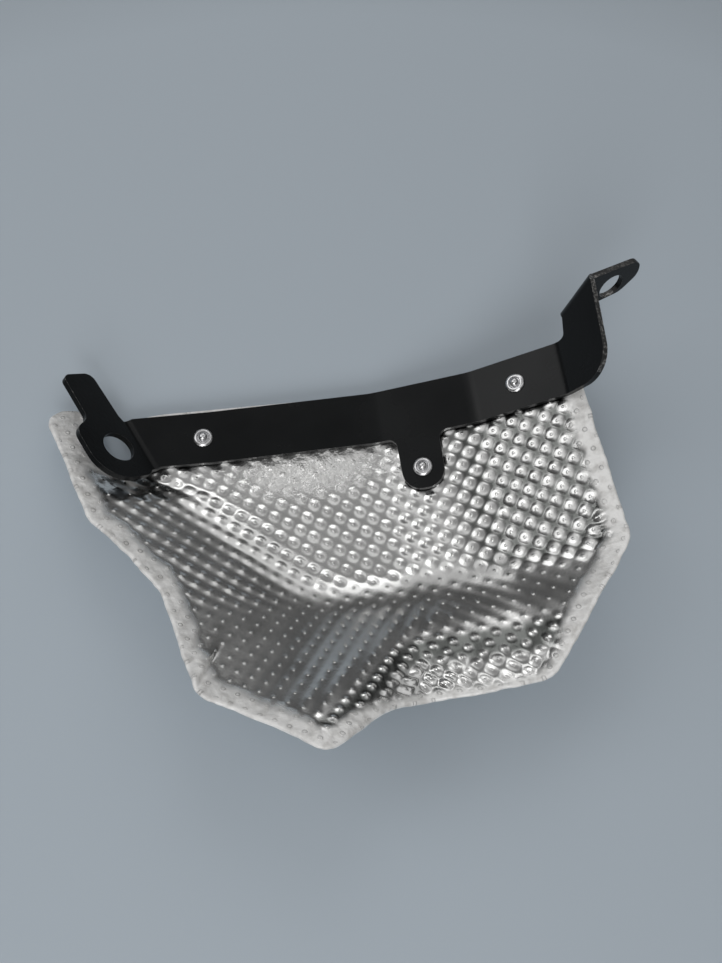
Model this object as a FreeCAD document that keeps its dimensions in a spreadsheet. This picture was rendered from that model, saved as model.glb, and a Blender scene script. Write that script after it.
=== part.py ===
# Heat shield: an embossed aluminium scoop with a folded rim, riveted to a bent steel bracket.
import FreeCAD
import Part
import Sketcher
import math
import os

# Driving sizes in millimetres and degrees. Every other size below follows from these.
SIZES = [
    ("strip_gauge", 2.0),
    ("strip_width", 18.0),
    ("strip_bend_radius", 18.0),
    ("facet_a_length", 77.0),
    ("facet_b_length", 33.7),
    ("facet_c_length", 31.0),
    ("facet_b_tilt", 14.84),
    ("facet_c_tilt", 30.35),
    ("sheet_gauge", 1.0),
    ("emboss_height", 0.9),
    ("emboss_pitch", 4.84),
    ("emboss_turn", -35.0),
    ("seat_gap", 0.1),
    ("left_wall_tilt", 35.0),
    ("left_fold_reach", 57.8),
    ("strip_relief", 8.0),
    ("front_wall_tilt", 43.0),
    ("front_wall_tilt_right", 31.0),
    ("front_fold_reach", 58.5),
    ("valley_blend", 7.0),
    ("lip_start", 19.0),
    ("lip_start_left", 40.0),
    ("lip_slope", 0.25),
    ("hem_width", 6.2),
    ("hem_width_finger", 3.5),
    ("hem_width_lip", 3.2),
    ("hem_rise", 0.35),
    ("hem_crown", 0.25),
    ("lug_turn", 24.0),
    ("lug_tilt", 45.0),
    ("lug_bend_radius", 4.0),
    ("lug_radius", 12.0),
    ("eyelet_bore", 11.0),
    ("eyelet_rise", 9.6),
    ("eyelet_offset", 2.8),
    ("tongue_reach", 32.7),
    ("tongue_width", 11.7),
    ("tongue_flare", 0.9),
    ("ear_width", 14.6),
    ("ear_reach", 27.8),
    ("riser_tilt", 30.0),
    ("riser_bend_radius", 5.0),
    ("riser_height", 18.3),
    ("tab_fold", 80.0),
    ("tab_bend_radius", 1.5),
    ("tab_reach", 47.0),
    ("tab_bore", 9.0),
    ("tab_bore_inset", 10.5),
    ("rivet_shank", 3.2),
    ("rivet_head", 6.5),
    ("rivet_head_rise", 0.9),
    ("rivet_stub", 3.0),
    ("rivet_stub_rise", 2.4),
    ("rivet_tail", 5.6),
    ("rivet_tail_drop", 1.6),
    ("rivet_clearance", 0.05),
    ("rivet_a_reach", 57.7),
    ("rivet_b_reach", 13.4),
    ("rivet_b_drop", 20.5),
    ("rivet_c_reach", 15.2),
]

doc = FreeCAD.newDocument("heat_shield")
sheet = doc.addObject("Spreadsheet::Sheet", "sizes")
for row, (alias, value) in enumerate(SIZES, start=1):
    sheet.set("A%d" % row, alias)
    sheet.set("B%d" % row, str(value))
    sheet.setAlias("B%d" % row, alias)
doc.recompute()


VALUES = {alias: float(sheet.get(alias)) for alias, value in SIZES}


def size(alias):
    return VALUES[alias]


def vec(x, y, z):
    return FreeCAD.Vector(x, y, z)


def turned(angle):
    return math.cos(math.radians(angle)), math.sin(math.radians(angle))


# Side profile shared by the sheet and the strip. It is given on the strip's front face, which lies
# over facet A at front_level; a lower surface is the same profile at a negative offset.
gauge = size("strip_gauge")
half_width = size("strip_width") / 2
front_level = size("sheet_gauge") + size("emboss_height") + size("seat_gap") + gauge
sheet_drop = gauge + size("seat_gap") + size("emboss_height")
tilts = [0.0, size("facet_b_tilt"), size("facet_c_tilt"), size("facet_c_tilt") + size("riser_tilt")]


def bend_points(offset):
    """Corners A|B, B|C and C|D of the profile as (x, z), at an offset from the front face."""
    cos_b, sin_b = turned(tilts[1])
    cos_c, sin_c = turned(tilts[2])
    first = (0.0, front_level)
    second = (first[0] + size("facet_b_length") * cos_b, first[1] + size("facet_b_length") * sin_b)
    third = (second[0] + size("facet_c_length") * cos_c, second[1] + size("facet_c_length") * sin_c)
    moved = []
    for corner, before, after in zip((first, second, third), tilts[:-1], tilts[1:]):
        cos_mid, sin_mid = turned((before + after) / 2)
        stretch = offset / math.cos(math.radians((after - before) / 2))
        moved.append((corner[0] - sin_mid * stretch, corner[1] + cos_mid * stretch))
    return moved


def bend_arc(corner, before, after, radius):
    """Tangent points, middle point and centre of the arc that rounds a profile corner upwards."""
    reach = radius * math.tan(math.radians((after - before) / 2))
    cos_0, sin_0 = turned(before)
    cos_1, sin_1 = turned(after)
    cos_m, sin_m = turned((before + after) / 2)
    start = (corner[0] - reach * cos_0, corner[1] - reach * sin_0)
    end = (corner[0] + reach * cos_1, corner[1] + reach * sin_1)
    centre = (start[0] - radius * sin_0, start[1] + radius * cos_0)
    middle = (centre[0] + radius * sin_m, centre[1] - radius * cos_m)
    return start, middle, end, centre


# Formed surface of the sheet: its front face between the dimples, as a height over the plan.
sheet_corners = bend_points(-sheet_drop)
sheet_radius = size("strip_bend_radius") + sheet_drop
sheet_arcs = []
for index in range(2):
    arc = bend_arc(sheet_corners[index], tilts[index], tilts[index + 1], sheet_radius)
    sheet_arcs.append(arc)


def back_wall_height(x):
    """Back wall: flat under facet A, then rising under facets B and C with rounded bends."""
    for index in range(2):
        start, middle, end, centre = sheet_arcs[index]
        if x < start[0]:
            slope = math.tan(math.radians(tilts[index]))
            return sheet_corners[index][1] + slope * (x - sheet_corners[index][0])
        if x < end[0]:
            return centre[1] - math.sqrt(sheet_radius ** 2 - (x - centre[0]) ** 2)
    slope = math.tan(math.radians(tilts[2]))
    return sheet_corners[1][1] + slope * (x - sheet_corners[1][0])


def smooth_max(first, second, blend):
    overlap = max(blend - abs(first - second), 0.0)
    return max(first, second) + overlap * overlap / (4 * blend)


def ramp(distance, blend):
    """Distance past a fold, eased in over the blend."""
    return smooth_max(distance, 0.0, blend)


def ease(value):
    value = min(max(value, 0.0), 1.0)
    return value * value * (3 - 2 * value)


def front_wall_slope(x):
    left = math.tan(math.radians(size("front_wall_tilt")))
    right = math.tan(math.radians(size("front_wall_tilt_right")))
    return left + (right - left) * ease((x + 15.0) / 75.0)


def lip_line(x):
    return size("lip_start") + (size("lip_start_left") - size("lip_start")) * ease((2.0 - x) / 38.0)


def beside_strip(x, y):
    """One next to the strip's left end, nothing further out."""
    return ease((y + half_width + 13.0) / 14.0) * ease((x + size("facet_a_length") + 18.0) / 14.0)


def left_distance(x, y):
    """Distance past the left fold, which runs round the strip's end."""
    return -(x + y) / math.sqrt(2) - size("left_fold_reach") - size("strip_relief") * beside_strip(x, y)


def front_distance(y):
    return -y - size("front_fold_reach")


def surface_height(x, y):
    blend = size("valley_blend")
    back = back_wall_height(x)
    slope = front_wall_slope(x)
    reach = front_distance(y)
    past_lip = ramp(reach - lip_line(x), 8.0)
    front_rise = slope * reach - (slope - size("lip_slope")) * past_lip
    left_rise = math.tan(math.radians(size("left_wall_tilt"))) * left_distance(x, y)
    rise = smooth_max(left_rise, front_rise, blend)
    return back + smooth_max(rise, 0.0, blend * (1 - 0.6 * beside_strip(x, y)))


def surface_point(x, y, lift):
    """Point over plan (x, y), lifted along the surface normal."""
    step = 0.05
    slope_x = (surface_height(x + step, y) - surface_height(x - step, y)) / (2 * step)
    slope_y = (surface_height(x, y + step) - surface_height(x, y - step)) / (2 * step)
    length = math.sqrt(slope_x ** 2 + slope_y ** 2 + 1)
    height = surface_height(x, y)
    return vec(x - slope_x / length * lift, y - slope_y / length * lift, height + lift / length)


def flat_to_plan(u, v):
    """Place in plan of a point of the flat embossed blank, drawn in where the walls rise."""
    blend = size("valley_blend")
    past_left = ramp(left_distance(u, v), blend)
    draw_left = (1 - math.cos(math.radians(size("left_wall_tilt")))) * past_left / math.sqrt(2)
    u = u + draw_left
    v = v + draw_left
    past_front = ramp(front_distance(v), blend)
    tilt = math.atan(front_wall_slope(u))
    v = v + (1 - math.cos(tilt)) * past_front
    x = u
    if u > 0:
        on_b = min(u, size("facet_b_length"))
        on_c = u - on_b
        x = on_b * math.cos(math.radians(tilts[1])) + on_c * math.cos(math.radians(tilts[2]))
    return x, v


# Rim of the shield in plan: corner points and the radius that rounds each of them, anticlockwise.
RIM = [
    (64.0, 8.5, 7.5), (-70.0, 11.5, 5.0), (-79.4, 11.0, 5.0), (-79.4, -5.1, 5.85), (-91.2, -5.1, 5.85),
    (-95.0, 15.0, 5.2), (-109.0, 15.0, 5.2), (-99.0, -12.0, 30.0), (-93.8, -28.0, 14.0),
    (-82.0, -41.5, 14.0), (-73.0, -55.5, 18.0), (-65.0, -86.8, 8.0), (-47.8, -96.3, 40.0),
    (-31.0, -107.5, 8.0), (-12.5, -97.7, 22.0), (36.0, -96.2, 8.0), (48.5, -81.0, 20.0), (68.0, -58.2, 8.0),
]


def rounded_rim(corners, spacing):
    """Points along the rounded outline, with the inward direction at each."""
    points = []
    count = len(corners)
    for index in range(count):
        x, y, radius = corners[index]
        px, py, _ = corners[index - 1]
        nx, ny, _ = corners[(index + 1) % count]
        before = math.atan2(y - py, x - px)
        after = math.atan2(ny - y, nx - x)
        turn = (after - before + math.pi) % (2 * math.pi) - math.pi
        reach = radius * math.tan(abs(turn) / 2)
        side = 1 if turn > 0 else -1
        start = (x - reach * math.cos(before), y - reach * math.sin(before))
        centre = (start[0] - side * radius * math.sin(before), start[1] + side * radius * math.cos(before))
        steps = max(1, int(math.ceil(abs(turn) / 0.42)))
        for step in range(steps + 1):
            heading = before + turn * step / steps
            points.append((centre[0] + side * radius * math.sin(heading),
                           centre[1] - side * radius * math.cos(heading), heading))
    dense = []
    for index in range(len(points)):
        x, y, heading = points[index]
        nx, ny, next_heading = points[(index + 1) % len(points)]
        dense.append((x, y, -math.sin(heading), math.cos(heading)))
        run = math.hypot(nx - x, ny - y)
        straight = abs((next_heading - heading + math.pi) % (2 * math.pi) - math.pi) < 0.01
        extra = int(run / spacing) if straight else 0
        for step in range(1, extra + 1):
            part = step / (extra + 1)
            dense.append((x + (nx - x) * part, y + (ny - y) * part, -math.sin(heading), math.cos(heading)))
    return dense


def hem_width_at(x, y):
    """Width of the folded hem: narrow on the finger beside the notch and along the turned-out lip."""
    finger = ease((-55.0 - x) / 10.0) * ease((y + 30.0) / 18.0)
    lip = ease((x + 24.0) / 12.0) * ease((-80.0 - y) / 10.0)
    width = size("hem_width") + (size("hem_width_finger") - size("hem_width")) * finger
    return width + (size("hem_width_lip") - size("hem_width")) * lip


def inside_margin(x, y, loop):
    """Distance inside a closed plan loop; negative outside."""
    nearest = 1e9
    inside = False
    count = len(loop)
    for index in range(count):
        ax, ay = loop[index]
        bx, by = loop[(index + 1) % count]
        if (ay > y) != (by > y) and x < (bx - ax) * (y - ay) / (by - ay) + ax:
            inside = not inside
        span = (bx - ax) ** 2 + (by - ay) ** 2
        along = ((x - ax) * (bx - ax) + (y - ay) * (by - ay)) / span if span > 0 else 0.0
        along = min(max(along, 0.0), 1.0)
        nearest = min(nearest, math.hypot(x - ax - along * (bx - ax), y - ay - along * (by - ay)))
    return nearest if inside else -nearest


class FacetSkin:
    """Collects shared points and triangles of the sheet's skin."""

    def __init__(self):
        self.points = []
        self.index = {}
        self.facets = []

    def add(self, key, point):
        if key not in self.index:
            self.index[key] = len(self.points)
            self.points.append(point)
        return self.index[key]

    def triangle(self, first, second, third):
        if first != second and second != third and third != first:
            self.facets.append((first, second, third))


def emboss_cells(loop):
    """Lattice cells that lie wholly inside the hem, in one piece without pinched corners."""
    pitch = size("emboss_pitch")
    cos_turn, sin_turn = turned(size("emboss_turn"))

    def place(i, j):
        u = -20.0 + pitch * (i * cos_turn - j * sin_turn)
        v = -30.0 + pitch * (i * sin_turn + j * cos_turn)
        return flat_to_plan(u, v)

    span = int(200.0 / pitch)
    cells = set()
    for i in range(-span, span):
        for j in range(-span, span):
            x, y = place(i, j)
            if inside_margin(x, y, loop) < 0.3 * pitch:
                continue
            corners = [place(i + a, j + b) for a, b in ((-0.5, -0.5), (0.5, -0.5), (0.5, 0.5), (-0.5, 0.5))]
            if min(inside_margin(cx, cy, loop) for cx, cy in corners) > 0.15:
                cells.add((i, j))
    changed = True
    while changed:
        changed = False
        for i, j in sorted(cells):
            links = [(i + 1, j) in cells, (i - 1, j) in cells, (i, j + 1) in cells, (i, j - 1) in cells]
            pinched = False
            for a, b in ((1, 1), (1, -1), (-1, 1), (-1, -1)):
                corner_cell = (i + a, j + b) in cells
                if corner_cell and (i + a, j) not in cells and (i, j + b) not in cells:
                    pinched = True
            if sum(links) < 2 or pinched:
                cells.discard((i, j))
                changed = True
                break
    groups = []
    left = set(cells)
    while left:
        stack = [left.pop()]
        group = set(stack)
        while stack:
            i, j = stack.pop()
            for near in ((i + 1, j), (i - 1, j), (i, j + 1), (i, j - 1)):
                if near in left:
                    left.discard(near)
                    group.add(near)
                    stack.append(near)
        groups.append(group)
    return max(groups, key=len), place


def stair_loop(cells):
    """Outer boundary of the kept cells as half-step lattice corners, anticlockwise in the lattice."""
    follow = {}
    for i, j in cells:
        ring = [(i - 0.5, j - 0.5), (i + 0.5, j - 0.5), (i + 0.5, j + 0.5), (i - 0.5, j + 0.5)]
        beyond = [(i, j - 1), (i + 1, j), (i, j + 1), (i - 1, j)]
        for side in range(4):
            if beyond[side] not in cells:
                follow[ring[side]] = ring[(side + 1) % 4]
    start = min(follow)
    loop = [start]
    while follow[loop[-1]] != start:
        loop.append(follow[loop[-1]])
    if len(loop) != len(follow):
        raise ValueError("the embossed field has more than one boundary")
    return loop


def plan_triangles(outer, inner):
    """Triangles of the plan strip between two closed loops, using their own points only."""
    wires = []
    for loop in (outer, inner):
        ring = [vec(x, y, 0) for x, y in loop]
        wires.append(Part.makePolygon(ring + [ring[0]]))
    face = Part.makeFace(wires, "Part::FaceMakerBullseye")
    points, triangles = face.tessellate(1.0)
    known = {}
    for name, loop in (("rim", outer), ("cell", inner)):
        for index, (x, y) in enumerate(loop):
            known[(round(x, 3), round(y, 3))] = (name, index)
    keys = [known[(round(p.x, 3), round(p.y, 3))] for p in points]
    result = []
    for a, b, c in triangles:
        area = (points[b].x - points[a].x) * (points[c].y - points[a].y)
        area -= (points[c].x - points[a].x) * (points[b].y - points[a].y)
        if area > 0:
            result.append((keys[a], keys[b], keys[c]))
        else:
            result.append((keys[a], keys[c], keys[b]))
    return result


def embossed_sheet_shape():
    """Solid of the formed sheet: dimples on both faces, a plain border and the folded hem."""
    rim = rounded_rim(RIM, 9.0)
    inner = []
    for x, y, ix, iy in rim:
        width = hem_width_at(x, y)
        inner.append((x + ix * width, y + iy * width))
    cells, place = emboss_cells(inner)
    stairs = stair_loop(cells)
    stair_plan = [place(i, j) for i, j in stairs]
    thickness = size("sheet_gauge")
    height = size("emboss_height")
    skin = FacetSkin()

    def corner(i, j, back):
        x, y = place(i, j)
        lift = -thickness if back else 0.0
        return skin.add(("lattice", i, j, back), surface_point(x, y, lift))

    for i, j in sorted(cells):
        ring = [(i - 0.5, j - 0.5), (i + 0.5, j - 0.5), (i + 0.5, j + 0.5), (i - 0.5, j + 0.5)]
        mids = [(i, j - 0.26), (i + 0.26, j), (i, j + 0.26), (i - 0.26, j)]
        x, y = place(i, j)
        top = skin.add(("top", i, j), surface_point(x, y, height))
        dent = skin.add(("dent", i, j), surface_point(x, y, 0.8 * height - thickness))
        base = [corner(a, b, False) for a, b in ring]
        under = [corner(a, b, True) for a, b in ring]
        shoulder = []
        for index, (a, b) in enumerate(mids):
            mx, my = place(a, b)
            shoulder.append(skin.add(("mid", i, j, index), surface_point(mx, my, 0.72 * height)))
        for side in range(4):
            ahead = (side + 1) % 4
            skin.triangle(base[side], base[ahead], shoulder[side])
            skin.triangle(base[ahead], shoulder[ahead], shoulder[side])
            skin.triangle(shoulder[side], shoulder[ahead], top)
            skin.triangle(under[ahead], under[side], dent)

    def border(key, back):
        name, index = key
        if name == "cell":
            return corner(stairs[index][0], stairs[index][1], back)
        x, y = inner[index]
        return skin.add(("hem", index, 7 if back else 0), surface_point(x, y, -thickness if back else 0.0))

    for a, b, c in plan_triangles(inner, stair_plan):
        skin.triangle(border(a, False), border(b, False), border(c, False))
        skin.triangle(border(a, True), border(c, True), border(b, True))

    rise = size("hem_rise")
    crown = size("hem_crown")
    count = len(rim)
    for index in range(count):
        rings = []
        for station in (index, (index + 1) % count):
            x, y, ix, iy = rim[station]
            width = hem_width_at(x, y)
            section = [
                (width, 0.0), (0.75 * width, rise), (0.45 * width, rise + crown), (0.8, rise),
                (0.0, (rise - thickness) / 2), (1.0, -thickness - 0.2), (0.55 * width, -thickness - 0.1),
                (width, -thickness),
            ]
            ring = []
            for step, (inward, lift) in enumerate(section):
                point = surface_point(x + ix * inward, y + iy * inward, lift)
                ring.append(skin.add(("hem", station, step), point))
            rings.append(ring)
        for step in range(7):
            skin.triangle(rings[0][step + 1], rings[1][step + 1], rings[0][step])
            skin.triangle(rings[1][step + 1], rings[1][step], rings[0][step])
    faces = Part.Shape()
    faces.makeShapeFromMesh((skin.points, skin.facets), 0.0005)
    solid = Part.Solid(Part.Shell(faces.Faces))
    if solid.Volume < 0:
        solid.reverse()
    print("embossed field", len(cells), "dimples,", len(skin.facets), "facets")
    return solid


# Places on the strip: a point of the front face at a reach past a bend, and its normal.
def on_facet(letter, reach, across):
    corners = bend_points(0.0)
    if letter == "A":
        return vec(-reach, across, front_level), vec(0, 0, 1)
    number = 1 if letter == "B" else 2
    cos_f, sin_f = turned(tilts[number])
    x, z = corners[number - 1]
    return vec(x + reach * cos_f, across, z + reach * sin_f), vec(-sin_f, 0, cos_f)


RIVETS = [
    ("A", size("rivet_a_reach"), 0.0),
    ("B", size("rivet_b_reach"), -size("rivet_b_drop")),
    ("C", size("rivet_c_reach"), 0.0),
]

# Mounting bracket: one steel strip, bent, with an ear, a lug at the left and a folded tab at the right.
bracket = doc.addObject("PartDesign::Body", "mounting_bracket")
bracket.Label = "mounting_bracket"


def origin_plane(body, role):
    for feature in body.Origin.OriginFeatures:
        if feature.Role == role:
            return feature
    raise ValueError(role)


def plane_at(origin, x_axis, normal):
    """Placement whose local X and Z axes are the ones given."""
    y_axis = normal.cross(x_axis)
    return FreeCAD.Placement(origin, FreeCAD.Rotation(x_axis, y_axis, normal, "ZXY"))


def new_sketch(name, placement):
    sketch = bracket.newObject("Sketcher::SketchObject", name)
    sketch.AttachmentSupport = [(origin_plane(bracket, "XY_Plane"), "")]
    sketch.MapMode = "FlatFace"
    sketch.AttachmentOffset = placement
    return sketch


def draw_outline(sketch, corners):
    """Closed outline through corner points, each rounded by its own radius (0 stays sharp)."""
    pieces = []
    count = len(corners)
    joints = []
    for index in range(count):
        x, y, radius = corners[index]
        px, py, _ = corners[index - 1]
        nx, ny, _ = corners[(index + 1) % count]
        before = math.atan2(y - py, x - px)
        after = math.atan2(ny - y, nx - x)
        turn = (after - before + math.pi) % (2 * math.pi) - math.pi
        is_round = radius > 0 and abs(turn) > 0.01
        reach = radius * math.tan(abs(turn) / 2) if is_round else 0.0
        start = vec(x - reach * math.cos(before), y - reach * math.sin(before), 0)
        end = vec(x + reach * math.cos(after), y + reach * math.sin(after), 0)
        bulge = radius * (1 / math.cos(turn / 2) - 1)
        inward = before + turn / 2 + math.copysign(math.pi / 2, turn)
        middle = vec(x + bulge * math.cos(inward), y + bulge * math.sin(inward), 0)
        joints.append((start, middle, end, is_round))
    for index in range(count):
        start, middle, end, is_round = joints[index]
        following = joints[(index + 1) % count][0]
        if is_round:
            pieces.append(Part.Arc(start, middle, end))
        if end.distanceToPoint(following) > 1e-6:
            pieces.append(Part.LineSegment(end, following))
    sketch.addGeometry(pieces, False)


def add_bore(sketch, x, y, expression, name):
    """Round hole whose diameter is bound to the sheet."""
    number = sketch.addGeometry(Part.Circle(vec(x, y, 0), vec(0, 0, 1), 1.0), False)
    row = sketch.addConstraint(Sketcher.Constraint("Diameter", number, 2.0))
    sketch.renameConstraint(row, name)
    sketch.addConstraint(Sketcher.Constraint("DistanceX", -1, 1, number, 3, x))
    sketch.addConstraint(Sketcher.Constraint("DistanceY", -1, 1, number, 3, y))
    sketch.setExpression("Constraints." + name, expression)


def add_pad(sketch, name, expression, reverse, midplane=False):
    pad = bracket.newObject("PartDesign::Pad", name)
    pad.Profile = sketch
    pad.setExpression("Length", expression)
    pad.Reversed = reverse
    pad.Midplane = midplane
    return pad


# The strip itself: facets A, B and C and the bend up to the riser, seen from the side.
def profile_run(offset):
    """Front-to-end points of the strip's side profile at an offset: lines and arcs from A to D."""
    runs = []
    corners = bend_points(offset)
    radii = [size("strip_bend_radius"), size("strip_bend_radius"), size("riser_bend_radius")]
    here = (-size("facet_a_length") + 20.0, front_level + offset)
    for index in range(3):
        arc = bend_arc(corners[index], tilts[index], tilts[index + 1], radii[index] - offset)
        runs.append(("line", here, arc[0]))
        runs.append(("arc", arc[0], arc[1], arc[2]))
        here = arc[2]
    return runs, here


def flat(point):
    return vec(point[0], point[1], 0)


side_plane = plane_at(vec(0, 0, 0), vec(1, 0, 0), vec(0, -1, 0))
side = new_sketch("strip_side", side_plane)
front_runs, front_end = profile_run(0.0)
back_runs, back_end = profile_run(-gauge)
side_pieces = []
for runs in (front_runs, back_runs):
    for run in runs:
        points = [flat(point) for point in run[1:]]
        if run[0] == "line":
            side_pieces.append(Part.LineSegment(points[0], points[1]))
        else:
            side_pieces.append(Part.Arc(points[0], points[1], points[2]))
side_pieces.append(Part.LineSegment(flat(front_runs[0][1]), flat(back_runs[0][1])))
side_pieces.append(Part.LineSegment(flat(front_end), flat(back_end)))
side.addGeometry(side_pieces, False)
add_pad(side, "strip_pad", "sizes.strip_width", False, True)

# Left end of facet A, cut square to the skewed fold of the lug.
lug_cos, lug_sin = turned(size("lug_turn"))
fold_dir = vec(-lug_sin, lug_cos, 0)
fold_out = vec(-lug_cos, -lug_sin, 0)
fold_point = vec(-size("facet_a_length"), -2.0, front_level)
lug_half = math.radians(size("lug_tilt") / 2)
lug_reach = size("lug_bend_radius") * math.tan(lug_half)
fold_low = (-half_width - fold_point.y) / fold_dir.y
fold_high = (half_width - fold_point.y) / fold_dir.y
end_low = fold_point + fold_dir * fold_low - fold_out * lug_reach
end_high = fold_point + fold_dir * fold_high - fold_out * lug_reach
join_x = -size("facet_a_length") + 22.0
end_sketch = new_sketch("strip_end", plane_at(vec(0, 0, front_level), vec(1, 0, 0), vec(0, 0, 1)))
draw_outline(end_sketch, [
    (join_x, -half_width, 0), (join_x, half_width, 0), (end_high.x, end_high.y, 0), (end_low.x, end_low.y, 0),
])
add_pad(end_sketch, "strip_end_pad", "sizes.strip_gauge", True)


def add_bend(name, start, along, length, heading, towards, angle, inner, gauge_side):
    """Bend sector: from the plate edge at start, running along, turning from heading towards."""
    sweep = math.radians(angle)
    centre_out = inner if gauge_side > 0 else inner + gauge
    far_radius = inner + gauge if gauge_side > 0 else inner
    placement = plane_at(start, heading, along)
    sketch = new_sketch(name, placement)
    local_up = placement.Rotation.inverted().multVec(towards)
    sign = 1.0 if local_up.y > 0 else -1.0

    def spot(radius, part):
        return vec(radius * math.sin(sweep * part), sign * (centre_out - radius * math.cos(sweep * part)), 0)

    sketch.addGeometry([
        Part.Arc(spot(centre_out, 0), spot(centre_out, 0.5), spot(centre_out, 1)),
        Part.LineSegment(spot(centre_out, 1), spot(far_radius, 1)),
        Part.Arc(spot(far_radius, 1), spot(far_radius, 0.5), spot(far_radius, 0)),
        Part.LineSegment(spot(far_radius, 0), spot(centre_out, 0)),
    ], False)
    pad = bracket.newObject("PartDesign::Pad", name + "_pad")
    pad.Profile = sketch
    pad.Length = length
    return pad


add_bend("lug_bend", end_low, fold_dir, fold_high - fold_low, fold_out, vec(0, 0, 1),
         size("lug_tilt"), size("lug_bend_radius"), 1)

# Lug with the eyelet and its tongue, in a plane turned up about the skewed fold.
tilt_cos, tilt_sin = turned(size("lug_tilt"))
lug_rise = fold_out * tilt_cos + vec(0, 0, 1) * tilt_sin
lug_normal = vec(0, 0, 1) * tilt_cos - fold_out * tilt_sin
lug_plane = FreeCAD.Placement(fold_point, FreeCAD.Rotation(fold_dir, lug_rise, lug_normal, "ZXY"))
eyelet_x = size("eyelet_offset")
eyelet_y = size("eyelet_rise")
lug_r = size("lug_radius")
tongue_mid = eyelet_y - 0.45
tongue_half = size("tongue_width") / 2
flip = 1.0 if (fold_dir.cross(lug_rise)).dot(lug_normal) > 0 else -1.0
lug_sketch = new_sketch("lug", plane_at(fold_point, fold_dir, lug_normal))
draw_outline(lug_sketch, [
    (fold_low, flip * lug_reach, 0), (fold_high, flip * lug_reach, 0),
    (fold_high + 2.5, flip * (tongue_mid - tongue_half - size("tongue_flare")), 2.5),
    (size("tongue_reach"), flip * (tongue_mid - tongue_half), 3.2),
    (size("tongue_reach"), flip * (tongue_mid + tongue_half), 2.6),
    (eyelet_x + lug_r, flip * (tongue_mid + tongue_half), 4.0),
    (eyelet_x + 0.75 * lug_r, flip * (eyelet_y + lug_r), 5.0),
    (eyelet_x - lug_r, flip * (eyelet_y + lug_r), 0.98 * lug_r),
    (eyelet_x - lug_r, flip * (eyelet_y - 0.5 * lug_r), 3.0),
])
add_bore(lug_sketch, eyelet_x, flip * eyelet_y, "sizes.eyelet_bore", "eyelet")
add_pad(lug_sketch, "lug_pad", "sizes.strip_gauge", True)

# Ear below facet B for the middle rivet.
ear_origin, ear_normal = on_facet("B", 0.0, 0.0)
ear_x = vec(math.cos(math.radians(tilts[1])), 0, math.sin(math.radians(tilts[1])))
ear_sketch = new_sketch("ear", plane_at(ear_origin, ear_x, ear_normal))
ear_mid = size("rivet_b_reach")
ear_half = size("ear_width") / 2
ear_root = -half_width
draw_outline(ear_sketch, [
    (ear_mid - ear_half - 3.0, ear_root + 1.0, 0), (ear_mid - ear_half - 3.0, ear_root, 0),
    (ear_mid - ear_half, ear_root - 0.05, 2.9), (ear_mid - ear_half + 0.4, -size("ear_reach"), 6.4),
    (ear_mid + ear_half - 0.4, -size("ear_reach"), 6.4), (ear_mid + ear_half, ear_root - 0.05, 2.9),
    (ear_mid + ear_half + 3.0, ear_root, 0), (ear_mid + ear_half + 3.0, ear_root + 1.0, 0),
])
add_bore(ear_sketch, ear_mid, -size("rivet_b_drop"), "sizes.rivet_shank + 2 * sizes.rivet_clearance", "ear_hole")
add_pad(ear_sketch, "ear_pad", "sizes.strip_gauge", True)

# Riser at the right end: the strip turns up and, in its own plane, round towards the back.
riser_cos, riser_sin = turned(tilts[3])
riser_up = vec(riser_cos, 0, riser_sin)
riser_normal = vec(-riser_sin, 0, riser_cos)
hinge_x, hinge_z = bend_points(0.0)[2]
hinge = vec(hinge_x, 0, hinge_z)
riser_reach = size("riser_bend_radius") * math.tan(math.radians(size("riser_tilt") / 2))
riser_top = size("riser_height")
riser_foot = 3.8
tab_fold_low = (18.4, riser_foot)
tab_fold_high = (24.4, riser_top)
fold_run = math.hypot(tab_fold_high[0] - tab_fold_low[0], tab_fold_high[1] - tab_fold_low[1])
fold_unit = ((tab_fold_high[0] - tab_fold_low[0]) / fold_run, (tab_fold_high[1] - tab_fold_low[1]) / fold_run)
fold_away = (fold_unit[1], -fold_unit[0])
tab_reach_out = (size("tab_bend_radius") + gauge) * math.tan(math.radians(size("tab_fold") / 2))


def before_fold(point):
    return point[0] - fold_away[0] * tab_reach_out, point[1] - fold_away[1] * tab_reach_out


def after_fold(point):
    return point[0] + fold_away[0] * tab_reach_out, point[1] + fold_away[1] * tab_reach_out


# In the riser's sketch X runs across the strip (world +Y) and Y runs up the riser.
riser_plane = plane_at(hinge, vec(0, 1, 0), riser_normal)
riser_flip = 1.0 if riser_plane.Rotation.multVec(vec(0, 1, 0)).dot(riser_up) > 0 else -1.0
riser_sketch = new_sketch("riser", riser_plane)
low_end = before_fold(tab_fold_low)
high_end = before_fold(tab_fold_high)
draw_outline(riser_sketch, [
    (-half_width, riser_flip * riser_reach, 0), (half_width, riser_flip * riser_reach, 0),
    (half_width + 0.4, riser_flip * riser_foot, 2.0), (low_end[0], riser_flip * low_end[1], 0),
    (high_end[0], riser_flip * high_end[1], 0), (half_width - 6.0, riser_flip * riser_top, 8.0),
    (-half_width - 0.3, riser_flip * (riser_top - 0.8), 10.5),
])
add_pad(riser_sketch, "riser_pad", "sizes.strip_gauge", True)

# Tab folded back from the riser, with the second fixing hole.
to_world = riser_plane.Rotation


def riser_world(point):
    return riser_plane.multVec(vec(point[0], riser_flip * point[1], 0))


def riser_dir(point):
    return to_world.multVec(vec(point[0], riser_flip * point[1], 0))


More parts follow.
